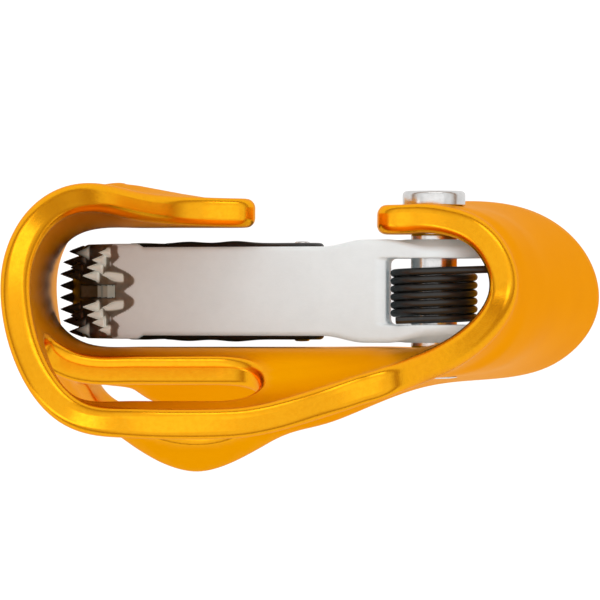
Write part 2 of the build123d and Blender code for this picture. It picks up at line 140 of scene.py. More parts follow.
def points_at(points, run, at):
    return np.column_stack([np.interp(at, run, points[:, 0]), np.interp(at, run, points[:, 1])])


def resample(points, step, closed=True):
    if closed:
        points = np.vstack([points, points[:1]])
    run = run_lengths(points)
    count = int(round(run[-1] / step))
    return points_at(points, run, np.linspace(0, run[-1], count, endpoint=not closed))


CORNER_PULL = 0.56          # how far a rounding's handles reach to its corner


def corner_bezier(start, corner, end, t, pull):
    handle_a, handle_b = start + (corner - start) * pull, end + (corner - end) * pull
    return ((1 - t) ** 3 * start + 3 * (1 - t) ** 2 * t * handle_a
            + 3 * (1 - t) * t**2 * handle_b + t**3 * end)


def rounded(chains, radii):
    """Joins open chains of points, head to tail; radii[k] rounds the corner after chain k."""
    cut = []
    for k, chain in enumerate(chains):
        run = run_lengths(chain)
        start, end = radii[k - 1], run[-1] - radii[k]
        at = np.concatenate([[start], run[(run > start) & (run < end)], [end]])
        cut.append(points_at(chain, run, at))
    t = np.linspace(0, 1, 14)[1:-1, None]
    out = []
    for k, chain in enumerate(chains):
        after = cut[(k + 1) % len(chains)][0]
        out += [cut[k], corner_bezier(cut[k][-1], chain[-1], after, t, CORNER_PULL)]
    return np.vstack(out)


def inside(loop, points):
    x, y = points[:, 0], points[:, 1]
    result = np.zeros(len(points), bool)
    for (x0, y0), (x1, y1) in zip(loop, np.roll(loop, -1, axis=0)):
        if y0 == y1:
            continue
        crosses = (y0 > y) != (y1 > y)
        result ^= crosses & (x < (x1 - x0) * (y - y0) / (y1 - y0) + x0)
    return result


def distance(loop, points, chunk=4000):
    """Distance from each point to a closed loop, worked out in chunks to spare memory."""
    leg = np.roll(loop, -1, axis=0) - loop
    leg_square = (leg**2).sum(1)
    out = np.zeros(len(points))
    for k in range(0, len(points), chunk):
        part = points[k:k + chunk, None, :]
        t = np.clip(((part - loop) * leg).sum(2) / leg_square, 0, 1)
        out[k:k + chunk] = np.sqrt((((loop + leg * t[..., None]) - part) ** 2).sum(2).min(1))
    return out


def signed_distance(loop, points):
    apart = distance(loop, points)
    return np.where(inside(loop, points), -apart, apart)


def loop_normals(loop):
    """Normals of a closed loop, to the right of its direction, and their mitred offsets."""
    leg = np.roll(loop, -1, axis=0) - loop
    leg_normal = np.column_stack([leg[:, 1], -leg[:, 0]]) / np.linalg.norm(leg, axis=1)[:, None]
    normal = leg_normal + np.roll(leg_normal, 1, axis=0)
    normal /= np.linalg.norm(normal, axis=1)[:, None]
    cosine = np.clip((normal * leg_normal).sum(1), 0.7, 1)
    return normal, normal / cosine[:, None]


def smoothstep(t):
    t = np.clip(t, 0, 1)
    return t * t * (3 - 2 * t)


# ------------------------------------------------------------------ meshes
def new_object(name, verts, faces, normals=None):
    """A smooth object from vertices in mm, with x from the axle."""
    coords = (np.array(verts, float) + np.array([AXLE_X, 0, 0])) * MM
    mesh = bpy.data.meshes.new(name)
    mesh.from_pydata(coords.tolist(), [], [tuple(int(i) for i in face) for face in faces])
    mesh.validate(clean_customdata=False)
    mesh.update()
    mesh.polygons.foreach_set("use_smooth", [True] * len(mesh.polygons))
    if normals is not None:
        set_normals(mesh, normals)
    ob = bpy.data.objects.new(name, mesh)
    bpy.context.scene.collection.objects.link(ob)
    return ob


def set_normals(mesh, normals):
    mesh.normals_split_custom_set_from_vertices([tuple(map(float, n)) for n in normals])


def paint(ob, name, values):
    """A float value on each vertex, for the material."""
    attribute = ob.data.attributes.new(name, "FLOAT", "POINT")
    attribute.data.foreach_set("value", np.array(values, np.float32))


def sharpen(ob, angle):
    ob.data.set_sharp_from_angle(angle=math.radians(angle))


# ------------------------------------------------------------------ bent plate: its sections
# Each curve is given by a row of stations and a row of values. Those of z:
step_back = curve(          # the upper part's step towards +Y
    [0, 10.8, 14.4, 18, 21.6, 25.2, 28.8, 32.4, 36, 41.4],
    [0, 0, 0.27, 1.08, 2.61, 4.41, 5.76, 6.57, 7.11, 7.74])
lean_back = curve(          # the lower part's lean towards +Y
    [-75.6, -66.6, -59.4, -54, -48.6, -41.4, -34.2, -28.8, -23.4, -18, 0],
    [19.4, 14.5, 10.95, 8.46, 6.84, 4.77, 2.79, 1.44, 0.45, 0, 0])
flange_root = curve(        # y of the front flange where it leaves the channel
    [-54, -45, -31.5, -13.5, 4.5, 15.3, 22.5, 36],
    [-14.22, -12.78, -10.98, -9.9, -10.35, -11.43, -12.15, -13.5])
flange_tip = curve(         # y of its free edge
    [-54, -45, -31.5, -13.5, 4.5, 36], [-12.3, -11.75, -10.9, -9.9, -9.765, -9.81])
FLANGE_EDGE_X = 22.41       # x of its free edge at the upper end
flange_edge_x = curve(
    [-50.4, -41.4, -27, -10.8, -3.6, 36],
    [38.25, 35.1, 29.25, 23.76, FLANGE_EDGE_X, FLANGE_EDGE_X])
wrap_rear_r = curve(        # x radius of the -X wrap, rear and front quarter
    [-54, -36, -18, -4, 3, 10, 20, 28, 36], [12.6, 12.6, 10.8, 8.7, 8.7, 11.3, 11.3, 9.6, 8.4])
wrap_front_r = curve(
    [-54, -36, -12, -4, 3, 9, 36], [11.7, 11.7, 9.9, 8.3, 8.3, 9.9, 9.9])
tab_y = curve(              # y of the front tab
    [-54, -40.5, -27, -13.5, -4.5, 36], [-11.35, -10.95, -10.3, -9.36, -TAB_Y, -TAB_Y])
# Those of x: the share of the step and of the lean that the back sheet takes
step_share = curve([-6.5, -2, 2, 5.94, 13.23, 20.34, 25.2, 54],
                   [0, 0.08, 0.25, 0.42, 0.70, 0.93, 1, 1])
lean_share = curve([-22.5, -13.5, -7.2, 0, 7.2, 14.4, 54], [0.06, 0.10, 0.20, 0.33, 0.55, 1, 1])

CHANNEL_X, CHANNEL_Y, CHANNEL_R = 41.625, -0.54, 9.495
BACK_XS = (37.8, 34.2, 30.6, 27, 23.4, 19.8, 16.2, 12.6)
TAB_END_X = 7.1
# Numbers of the section's points at the channel's +X extreme, the wrap's start and -X extreme
AT_CHANNEL, AT_WRAP, AT_WRAP_END = 8, 22, 25


def back_y(x, z):
    return BACK_Y + step_back(z) * step_share(x) + lean_back(z) * lean_share(x)


def flange_y(x, z):
    share = min(1, max(0, (x - FLANGE_EDGE_X) / (CHANNEL_X - FLANGE_EDGE_X)))
    return flange_tip(z) + (flange_root(z) - flange_tip(z)) * (smoothstep(share) * 0.6 + share * 0.4)


def plate_section(z):
    """Points (x, y) of the plate's middle line: flange, channel, back sheet, wrap, tab."""
    points = []
    edge_x = flange_edge_x(z)
    for share in (0, 0.25, 0.5, 0.78):
        x = edge_x + (CHANNEL_X - edge_x) * share
        points.append((x, flange_y(x, z)))
    front, rear = CHANNEL_Y - flange_root(z), back_y(CHANNEL_X, z) - CHANNEL_Y
    for degrees in np.linspace(-90, 90, 9):
        angle, depth = math.radians(degrees), front if degrees <= 0 else rear
        points.append((CHANNEL_X + CHANNEL_R * math.cos(angle), CHANNEL_Y + depth * math.sin(angle)))
    points += [(x, back_y(x, z)) for x in BACK_XS]

    wrap_x = -7.93 - 0.25 * (12.15 - z)
    rear_r, front_r = wrap_rear_r(z), wrap_front_r(z)
    rear_x, front_x = wrap_x + rear_r, wrap_x + front_r
    x = (BACK_XS[-1] + rear_x) / 2
    points.append((x, back_y(x, z)))
    wrap_quarters = ((rear_x, rear_r, back_y(rear_x, z), (90, 60, 30, 0)),
                     (front_x, front_r, tab_y(z), (30, 60, 90)))
    for centre, radius, y, angles in wrap_quarters:
        for angle in map(math.radians, angles):
            points.append((centre - radius * math.cos(angle), y * math.sin(angle)))
    points += [((front_x + TAB_END_X) / 2, tab_y(z)), (TAB_END_X, tab_y(z))]
    return np.array(points)


# z of the plate's upper and lower outline at each of the section's points
OUTLINE_TOP = [
    1.8, 2.7, 4.95, 11.25, 16.65, 19.8, 22.5, 24.48, 26.1, 27.45, 29.25, 31.05, 33.12, 34.92,
    35.73, 36, 35.82, 35.1, 33.84, 32.22, 30.42, 28.35, 26.55, 21.6, 16.47, 12.15, 10.35, 9, 8.1,
    7.74, 6.84]
OUTLINE_BOTTOM = [
    -37.8, -41.4, -44.1, -45.45, -45.9, -46.17, -46.35, -46.35, -46.35, -46.35, -47.25, -50.4,
    -55.35, -61.65, -65.43, -66.87, -65.52, -62.1, -57.78, -54, -51.3, -48.6, -46.35, -44.55,
    -43.65, -42.3, -38.7, -32.4, -24.3, -15.3, -7.2]
BOTTOM_SHIFT = 0.45         # the lower outline is read this much further along the sheet

# The sheet is laid out flat by the section at this height: s is the length along it
LAYOUT_Z = -4.5
arc = run_lengths(plate_section(LAYOUT_Z))
SHEET_LENGTH = float(arc[-1])
arc = arc / SHEET_LENGTH

# Middle sheet on a grid of s and z
GRID_S, GRID_Z0, GRID_Z1, GRID_DZ = 801, -72.0, 42.01, 0.5
along_matrix = spline_matrix(arc, np.linspace(0, 1, GRID_S))
grid_zs = np.arange(GRID_Z0, GRID_Z1, GRID_DZ)
GRID = np.stack([along_matrix @ plate_section(z) for z in grid_zs], axis=1)


def cubic_weights(t):
    """Catmull-Rom weights of the four neighbours."""
    return np.stack([-0.5 * t + t**2 - 0.5 * t**3, 1 - 2.5 * t**2 + 1.5 * t**3,
                     0.5 * t + 2 * t**2 - 1.5 * t**3, -0.5 * t**2 + 0.5 * t**3])


def middle(s, z):
    """Points of the plate's middle sheet."""
    u = np.clip(s / SHEET_LENGTH, 0, 1) * (GRID_S - 1)
    v = (z - GRID_Z0) / GRID_DZ
    i = np.clip(np.floor(u).astype(int), 1, GRID_S - 3)
    j = np.clip(np.floor(v).astype(int), 1, len(grid_zs) - 3)
    u_weights, v_weights = cubic_weights(u - i), cubic_weights(v - j)
    out = np.zeros((len(s), 2))
    for a in range(4):
        for b in range(4):
            out += (u_weights[a] * v_weights[b])[:, None] * GRID[i + a - 1, j + b - 1]
    return np.column_stack([out, z])


def sheet(s, z, probe=0.35):
    """Middle points, outward normals and the two tangents of the sheet."""
    s, z = np.asarray(s, float), np.asarray(z, float)
    before, after = np.clip(s - probe, 0, SHEET_LENGTH), np.clip(s + probe, 0, SHEET_LENGTH)
    along = (middle(after, z) - middle(before, z)) / (after - before)[:, None]
    up = (middle(s, z + probe) - middle(s, z - probe)) / (2 * probe)
    normal = np.cross(along, up)
    normal /= np.linalg.norm(normal, axis=1)[:, None]
    return middle(s, z), normal, along, up


def s_of_x(x, z, s_from, s_to):
    """Length at which the sheet passes x at the height z, found by halving between two lengths."""
    start, end = np.full(len(x), float(s_from)), np.full(len(x), float(s_to))
    start_error = middle(start, z)[:, 0] - x
    for _ in range(34):
        half = (start + end) / 2
        same = np.sign(middle(half, z)[:, 0] - x) == np.sign(start_error)
        start, end = np.where(same, half, start), np.where(same, end, half)
    return (start + end) / 2


# ------------------------------------------------------------------ bent plate: its mesh
# Upper slot as (x, z): its +X end as drawn, then a half circle at its -X end
SLOT_LEAD = [(44.2, 18.0), (45.6, 18.02), (47.9, 18.75), (48.8, 21.2), (48.2, 24.4), (46.0, 27.7),
             (43.6, 28.75), (42.4, 28.8)]
SLOT_X, SLOT_Z, SLOT_R = 27.1, 23.4, 5.4
# Lower eye as (x, z)
EYE = [(40.2, -31.2), (42.8, -30.6), (44.6, -32.6), (44.4, -37.0), (43.7, -42.0), (42.6, -46.8),
       (40.0, -51.8), (36.0, -55.8), (30.8, -57.5), (26.2, -55.8), (23.6, -51.2), (24.2, -46.4),
       (27.6, -43.2), (32.0, -42.0), (35.4, -40.6), (37.3, -37.8), (38.6, -34.2)]
AXLE_HOLE_R = 2.03
SLOT_RIM, EYE_RIM, AXLE_RIM, OUTER_RIM = 1.15, 1.05, 0.15, 1.15     # rounding of the rims


def circle_points(radius, angles):
    return np.column_stack([radius * np.cos(angles), radius * np.sin(angles)])


def outer_loop():
    """The plate's outline as (s, z), counter-clockwise."""
    share = np.linspace(0, 1, 500)
    shifted = np.clip(share + BOTTOM_SHIFT / SHEET_LENGTH, 0, 1)
    top, bottom = (
        np.column_stack([share * SHEET_LENGTH, spline_matrix(arc, at) @ np.array(outline)])
        for at, outline in ((share, OUTLINE_TOP), (shifted, OUTLINE_BOTTOM)))
    tab_end = np.column_stack([np.full(40, SHEET_LENGTH), np.linspace(bottom[-1, 1], top[-1, 1], 40)])
    flange_end = np.column_stack([np.zeros(60), np.linspace(top[0, 1], bottom[0, 1], 60)])
    return resample(rounded([bottom, tab_end, top[::-1], flange_end], [4.2, 4.4, 2.4, 4.0]), 0.62)


def hole_loops():
    """The holes as (s, z), clockwise so that right of them is into the hole, and their rims."""
    turn = np.linspace(math.pi / 2, 1.5 * math.pi, 50)
    slot_end = np.column_stack([SLOT_X + SLOT_R * np.cos(turn), SLOT_Z + SLOT_R * np.sin(turn)])
    slot = resample(np.vstack([spline_through(SLOT_LEAD, 60), slot_end]), 0.5)
    eye = resample(spline_through(EYE, 200, closed=True), 0.5)
    ring = circle_points(AXLE_HOLE_R, np.linspace(0, 2 * math.pi, 30, endpoint=False))
    back_start, back_end, wrap_end = (SHEET_LENGTH * arc[i]
                                      for i in (AT_CHANNEL, AT_WRAP, AT_WRAP_END))
    holes = []
    # points, the lengths of sheet to look between, rim radius, spacing
    for points, span, radius, step in (
        (slot, (back_start, back_end), SLOT_RIM, 0.5),
        (eye, (back_start, back_end), EYE_RIM, 0.5),
        (ring, (back_start, back_end + 12), AXLE_RIM, 0.42),
        (ring, (wrap_end, SHEET_LENGTH), AXLE_RIM, 0.42),
    ):
        loop = np.column_stack([s_of_x(points[:, 0], points[:, 1], *span), points[:, 1]])
        s, z = loop.T
        if np.sum(s * np.roll(z, -1) - np.roll(s, -1) * z) > 0:
            loop = loop[::-1]
        holes.append((resample(loop, step), radius))
    return holes


class Shell:
    """Vertices of the plate with their normals and edge values, and its faces."""

    def __init__(self):
        self.verts, self.normals, self.edge, self.faces = [], [], [], []

    def add(self, points, normals, edge):
        first = len(self.verts)
        self.verts.extend(points)
        self.normals.extend(normals)
        self.edge.extend([edge] * len(points))
        return np.arange(first, len(self.verts))


def add_rim(shell, loop, radius):
    """Rolls the rim round a loop; gives the border of the flat sides and its vertex numbers."""
    across, mitred = loop_normals(loop)
    angles = np.radians([0, 15, 30, 45, 60, 75, 90])
    before, flat = None, {}
    for side, angle in [(-1, a) for a in angles[::-1]] + [(1, a) for a in angles]:
        border = loop - mitred * (radius * (1 - math.cos(angle)))
        height = side * (PLATE_T / 2 - radius + radius * math.sin(angle))
        points, normal, along, up = sheet(border[:, 0], border[:, 1])
        outward = along * across[:, :1] + up * across[:, 1:]
        outward -= normal * (outward * normal).sum(1)[:, None]
        outward /= np.linalg.norm(outward, axis=1)[:, None]
        ids = shell.add(points + normal * height,
                        outward * math.cos(angle) + normal * side * math.sin(angle),
                        1.0 if angle < math.radians(80) else 0.55)
        if before is not None:
            for i in range(len(loop)):
                j = (i + 1) % len(loop)
                shell.faces.append((before[i], before[j], ids[j], ids[i]))
        before = ids
        if angle > math.radians(89):
            flat[side] = ids
    return border, flat


def in_sheet(borders, points):
    keep = inside(borders[0], points)
    for border in borders[1:]:
        keep &= ~inside(border, points)
    return keep


def add_flats(shell, rims):
    """Fills both sides of the plate between the rims with the same triangles."""
    borders = [border for border, _ in rims]
    step = 1.05
    grid_s, grid_z = np.meshgrid(np.arange(0, SHEET_LENGTH, step), np.arange(-70, 38, step))
    grid_s[1::2] += step / 2
    points = np.column_stack([grid_s.ravel(), grid_z.ravel()])
    points = points[in_sheet(borders, points)]
    for border in borders:
        points = points[distance(border, points) > step * 0.55]

    flat_points, edges = [], []
    for border in borders:
        first, count = len(flat_points), len(border)
        flat_points.extend(map(tuple, border))
        edges.extend((first + i, first + (i + 1) % count) for i in range(count))
    flat_points.extend(map(tuple, points))
    made, _, triangles, origins = delaunay_2d_cdt(
        [Vector(point) for point in flat_points], edges, [], 0, 1e-6)[:4]
    source = [origin[0] if origin else None for origin in origins]
    centres = np.array([np.mean([made[i] for i in triangle], axis=0) for triangle in triangles])
    keep = in_sheet(borders, centres)

    middles, normal, _, _ = sheet(points[:, 0], points[:, 1])
    ids = {}
    for side in (-1, 1):
        field = shell.add(middles + normal * side * PLATE_T / 2, normal * side, 0.0)
        ids[side] = np.concatenate([flat[side] for _, flat in rims] + [field])
    for triangle, kept in zip(triangles, keep):
        corners = [source[i] for i in triangle]
        if not kept or None in corners:
            continue
        (x0, y0), (x1, y1), (x2, y2) = (flat_points[i] for i in corners)
        if (x1 - x0) * (y2 - y0) - (y1 - y0) * (x2 - x0) < 0:
            corners = corners[::-1]
        shell.faces.append(tuple(ids[1][i] for i in corners))
        shell.faces.append(tuple(ids[-1][i] for i in corners[::-1]))


def build_plate():
    shell = Shell()
    add_flats(shell, [add_rim(shell, *loop) for loop in [(outer_loop(), OUTER_RIM)] + hole_loops()])
    ob = new_object("plate", shell.verts, shell.faces)
    mesh = ob.data
    # turn all faces outwards, by the normals that are known
    normals = np.array(shell.normals)
    face_normals = np.zeros(len(mesh.polygons) * 3)
    mesh.polygons.foreach_get("normal", face_normals)
    flip = {polygon.index for polygon, normal in zip(mesh.polygons, face_normals.reshape(-1, 3))
            if np.dot(normal, normals[list(polygon.vertices)].mean(0)) < 0}
    if flip:
        faces = [tuple(polygon.vertices)[::-1] if polygon.index in flip
                 else tuple(polygon.vertices) for polygon in mesh.polygons]
        bpy.data.objects.remove(ob)
        ob = new_object("plate", shell.verts, faces, normals)
    else:
        set_normals(mesh, normals)
    ob.name = "bent_plate"
    paint(ob, "edge", shell.edge)
    return ob


plate = build_plate()

# ------------------------------------------------------------------ solids from distance fields
VOXEL = 0.15


class Block:
    """A block of space cut into cells; distance fields over it are negative inside a shape."""

    def __init__(self, low, high):
        self.low = np.array(low, float)
        self.x, self.y, self.z = (np.arange(a, b, VOXEL, dtype=np.float32)
                                  for a, b in zip(low, high))
        self.X, self.Y, self.Z = self.x[:, None, None], self.y[None, :, None], self.z[None, None, :]
        self.half = np.abs(self.Y)
        self.shape = (len(self.x), len(self.y), len(self.z))

    def side(self, outline):
        """Distance to an outline of (x, z) seen along Y."""
        grid_x, grid_z = np.meshgrid(self.x, self.z, indexing="ij")
        points = np.column_stack([grid_x.ravel(), grid_z.ravel()]).astype(float)
        flat = signed_distance(np.array(outline, float), points)
        return flat.reshape(grid_x.shape)[:, None, :].astype(np.float32)

    def from_axis(self, x, z):
        """Distance from an axis along Y."""
        return np.sqrt((self.X - x) ** 2 + (self.Z - z) ** 2)

    def window(self, low, high):
        """The slices of the block between two corners."""
        return tuple(
            slice(max(0, int(np.searchsorted(axis, a)) - 1), int(np.searchsorted(axis, b)) + 1)
            for axis, a, b in zip((self.x, self.y, self.z), low, high))

    def cut_sides(self, body, outline, beyond, edge, rim):
        """Cuts an outline into both Y sides, where |y| is above beyond."""
        return minus(body, both(self.side(outline), beyond - self.half, edge), rim)

    def cut_core(self, body, outline, within, edge, rim):
        """Cuts an outline out of the middle, where |y| is below within."""
        return minus(body, both(self.side(outline), self.half - within, edge), rim)

    def sample(self, values, points):
        """Values of a field at points, between the cells."""
        place = (points - self.low) / VOXEL
        cell = np.clip(np.floor(place).astype(int), 0, np.array(values.shape) - 2)
        part = place - cell
        out = 0
        for corner in np.ndindex(2, 2, 2):
            wx, wy, wz = (part[:, k] if far else 1 - part[:, k] for k, far in enumerate(corner))
            out = out + wx * wy * wz * values[tuple((cell + corner).T)]
        return out


def both(first, second, radius=0.0):
    """Common part of two fields, its edge rounded."""
    if radius <= 0:
        return np.maximum(first, second)
    u, v = np.maximum(first + radius, 0), np.maximum(second + radius, 0)
    return np.minimum(np.maximum(first, second), -radius) + np.sqrt(u * u + v * v)


def either(first, second, radius):
    return -both(-first, -second, radius)


def minus(first, second, radius=0.0):
    return both(first, -second, radius)


def solid(name, block, values):
    """The object of a distance field, and its vertices in mm."""
    values = np.ascontiguousarray(np.clip(values, -3 * VOXEL, 3 * VOXEL), np.float32)
    grid = openvdb.FloatGrid()
    grid.background = 3 * VOXEL
    grid.copyFromArray(values)
    points, quads = grid.convertToQuads(isovalue=0.0)
    points = points.astype(float) * VOXEL + block.low

    def gradient(reach):
        out = np.stack([block.sample(values, points + offset) - block.sample(values, points - offset)
                        for offset in np.eye(3) * reach], axis=1)
        return out / np.maximum(np.linalg.norm(out, axis=1), 1e-9)[:, None]

    # pull the vertices onto the surface
    reach = VOXEL * 0.6
    for _ in range(2):
        error = np.clip(block.sample(values, points), -reach, reach)
        points = points - gradient(reach) * error[:, None] * 0.9
    normals = gradient(VOXEL)
    quads = np.array(quads)[:, ::-1]
    a, b, c = (points[quads[:, k]] for k in (0, 1, 2))
    facing = (np.cross(b - a, c - a) * normals[quads[:, 0]]).sum(1)
    if np.sum(facing < 0) > len(quads) / 2:
        quads = quads[:, ::-1]
    return new_object(name, points, quads, normals), points


# ------------------------------------------------------------------ cam
SLOPE = 0.4103              # fall of the arm's straight top along x
HUB_R = 6.2
SLANT = math.sqrt(1 + SLOPE**2)
TOP_Z = HUB_R * SLANT       # height of the top line above the axle; it touches the hub's circle


def arm_top(x):
    return TOP_Z - SLOPE * x


# Outlines are (x, z)
FACE_POINTS = [(40.75, arm_top(40.75)), (42.2, -13.4), (43.9, -17.2), (45.3, -21.2), (46.2, -25.4),
               (46.5, -29.4), (46.2, -33.4), (45.3, -37.2)]
UNDER_POINTS = [(43.2, -38.3), (39.6, -33.8), (34.2, -26.6), (27.0, -18.8), (19.8, -13.2),
                (12.0, -9.0), (5.0, -6.6)]
FACE = spline_through(FACE_POINTS, 90)
CHEEK = [(12.6, -3.7), (17.0, -3.7), (24.0, -7.6), (31.5, -12.4), (38.7, -17.4), (40.0, -20.6),
         (40.0, -45), (12.6, -45)]
POCKET = [(13.4, -4.4), (20.2, -4.4), (22.5, -9.0), (22.5, -20), (13.4, -20)]
FACE_SLOT = [(40.35, -9.0), (50.0, -9.0), (50.0, -21.5), (42.3, -20.3), (42.25, -17.6),
             (40.35, -17.2)]
HEAD_RELIEF = [(41.5, -22.0), (43.0, -26.5), (43.4, -31.5), (42.6, -35.0), (39.0, -28.5),
               (38.6, -24.5)]
BULGE_Y = 2.6               # beyond this |y| the face falls back

# Scalloped edge at the face's upper end, one half: (y, x)
SCALLOPS = [(-9, 39.7), (-5.9, 39.7), (-5.2, 39.95), (-4.75, 39.85), (-4.4, 39.55), (-4.05, 39.9),
            (-3.42, 40.7), (-2.9, 39.7), (-2.35, 38.6), (-1.9, 37.95), (-1.36, 37.7),
            (-0.85, 37.9), (-0.42, 38.6), (0, 39.15)]
SCALLOP_RUN = (0.70, -0.714)    # direction (x, z) in which the scallops run down the face
LOOKUP_STEP = 0.1

# Window through the hub: half sizes, corner, middle in y, and its +X side at z = 0 with its tilt
WINDOW_HALF_X, WINDOW_HALF_Y, WINDOW_CORNER, WINDOW_Y = 12, 4.15, 0.7, 0.05
WINDOW_X, WINDOW_TILT = 5.75, 0.08

# Teeth at the face's upper end: x, |y|, z, height, base radius, direction (x, z)
TOP_TEETH = [
    (39.1, 2.08, -11.4, 3.25, 1.25, (0.955, -0.295)),
    (40.95, 4.94, -11.35, 1.75, 0.62, (0.96, -0.28)),
    (41.65, 4.0, -12.2, 1.95, 0.74, (0.96, -0.28)),
    (42.0, 3.05, -13.2, 2.35, 0.78, (0.96, -0.28)),
    (42.5, 2.0, -14.5, 2.45, 0.80, (0.96, -0.28))]
# Rows of teeth below: z of the outermost tooth, |y| of each, height, z part of the direction
TOOTH_ROWS = [
    (-17.6, (4.95, 4.1, 3.1, 2.05), 1.95, -0.3),
    (-23.4, (5.2, 3.8, 2.3, 0.78), 2.15, -0.25),
    (-28.6, (5.2, 3.8, 2.3, 0.78), 2.15, -0.22),
    (-33.6, (5.2, 3.8, 2.3, 0.78), 2.15, -0.3)]
ROW_DROP, ROW_TOOTH_R = 1.15, 0.76      # fall from tooth to tooth towards y = 0; base radius
LOWEST_TOOTH_Z = -36.9


def face_x(z):
    return np.interp(-z, -FACE[:, 1], FACE[:, 0])


def clockwise_arc(start, via, end, count):
    """Points of the arc through three points that run clockwise."""
    (x0, y0), (x1, y1), (x2, y2) = start, via, end
    sq0, sq1, sq2 = x0**2 + y0**2, x1**2 + y1**2, x2**2 + y2**2
    scale = 2 * (x0 * (y1 - y2) + x1 * (y2 - y0) + x2 * (y0 - y1))
    x = (sq0 * (y1 - y2) + sq1 * (y2 - y0) + sq2 * (y0 - y1)) / scale
    y = (sq0 * (x2 - x1) + sq1 * (x0 - x2) + sq2 * (x1 - x0)) / scale
    radius = math.hypot(x0 - x, y0 - y)
    first, last = math.atan2(y0 - y, x0 - x), math.atan2(y2 - y, x2 - x)
    sweep = -((first - last) % (2 * math.pi))
    angles = [first + sweep * k / count for k in range(count + 1)]
    return [(x + radius * math.cos(angle), y + radius * math.sin(angle)) for angle in angles]


def cam_outline():
    tangent = (HUB_R * SLOPE / SLANT, HUB_R / SLANT)
    outline = [tangent] + list(map(tuple, FACE))
    outline += clockwise_arc(FACE_POINTS[-1], (44.5, -38.4), UNDER_POINTS[0], 10)[1:-1]
    outline += list(map(tuple, spline_through(UNDER_POINTS, 70)))
    return outline + clockwise_arc((0, -HUB_R), (-HUB_R, 0), tangent, 40)[:-1]


def scallop_field(block):
    """Distance in plan to the scalloped edge, carried down the face from the top plane."""
    edge = SCALLOPS + [(-y, x) for y, x in SCALLOPS[-2::-1]]
    edge = resample(np.array(edge), 0.12, closed=False)
    edge[:, 1] = np.convolve(np.pad(edge[:, 1], 2, mode="edge"), np.ones(5) / 5, mode="valid")
    keep = np.vstack([[(29, -9)], np.column_stack([edge[:, 1], edge[:, 0]]), [(29, 9)]])
    xs, ys = np.arange(30, 52, LOOKUP_STEP), np.arange(-7.6, 7.6, LOOKUP_STEP)
    grid_x, grid_y = np.meshgrid(xs, ys, indexing="ij")
    plan_points = np.column_stack([grid_x.ravel(), grid_y.ravel()])
    lookup = signed_distance(keep, plan_points).reshape(grid_x.shape)

    run_x, run_z = SCALLOP_RUN
    back = -(arm_top(0) - SLOPE * block.x[:, None] - block.z[None, :]) / (-run_z - SLOPE * run_x)
    place_x = np.clip((block.x[:, None] + back * run_x - xs[0]) / LOOKUP_STEP, 0, len(xs) - 2)
    place_y = np.clip((block.y - ys[0]) / LOOKUP_STEP, 0, len(ys) - 2)
    cell_x, cell_y = np.floor(place_x).astype(int), np.floor(place_y).astype(int)
    u, v = (place_x - cell_x)[:, None, :], (place_y - cell_y)[None, :, None]
    i, j = cell_x[:, None, :], cell_y[None, :, None]
    return ((lookup[i, j] * (1 - u) + lookup[i + 1, j] * u) * (1 - v)
            + (lookup[i, j + 1] * (1 - u) + lookup[i + 1, j + 1] * u) * v)


def cut_hub_window(block, body):
    X, Z = block.X, block.Z
    from_middle = np.abs(block.Y - WINDOW_Y)
    over_x = (np.abs(X - (WINDOW_X + WINDOW_TILT * Z - WINDOW_HALF_X))
              - (WINDOW_HALF_X - WINDOW_CORNER))
    over_y = from_middle - (WINDOW_HALF_Y - WINDOW_CORNER)
    corner = np.sqrt(np.maximum(over_x, 0) ** 2 + np.maximum(over_y, 0) ** 2)
    body = minus(body, np.minimum(np.maximum(over_x, over_y), 0) + corner - WINDOW_CORNER, 0.16)
    # slope off the arm's top where it meets the window
    ramp = ((Z - arm_top(X)) + (7.15 - X) * 0.55) * -0.876
    ramp = both(both(ramp, from_middle - WINDOW_HALF_Y, 0.25), 4.6 - X)
    return minus(body, ramp, 0.2)


def tooth_list():
    teeth = list(TOP_TEETH)
    for outer_z, ys, height, lean in TOOTH_ROWS:
        for k, y in enumerate(ys):
            z = outer_z - ROW_DROP * k
            if z < LOWEST_TOOTH_Z:
                continue
            fall = max(0, (y - BULGE_Y) * 0.56 - max(0, 46.5 - face_x(z)))
            direction = (math.sqrt(1 - lean**2), lean)
            teeth.append((face_x(z) - fall - 0.15, y, z, height, ROW_TOOTH_R, direction))
    return teeth


def add_teeth(block, body):
    """Adds the cones to the body; gives the distance to the nearest one."""
    near = np.full(block.shape, 9.0, np.float32)
    for x, y, z, height, radius, (lean_x, lean_z) in tooth_list():
        axis = np.array([lean_x, 0.0, lean_z])
        axis /= np.linalg.norm(axis)
        for side in (1, -1):
            base = np.array([x, side * y, z])
            tip = base + axis * height
            margin = radius + 0.8
            part = block.window(np.minimum(base, tip) - margin, np.maximum(base, tip) + margin)
            dx = block.X[part[0]] - base[0]
            dy = block.Y[:, part[1]] - base[1]
            dz = block.Z[:, :, part[2]] - base[2]
            along = dx * axis[0] + dz * axis[2]
            out = np.sqrt(np.maximum(dx * dx + dy * dy + dz * dz - along**2, 0))
            cone = (out * height + along * radius - radius * height) / math.hypot(radius, height)
            cone = np.maximum(cone, -along - 0.15)
            # slightly blunt tips
            cone = np.maximum(cone, along - height + 0.08)
            near[part] = np.minimum(near[part], cone)
            body[part] = either(body[part], cone, 0.12)
    return near


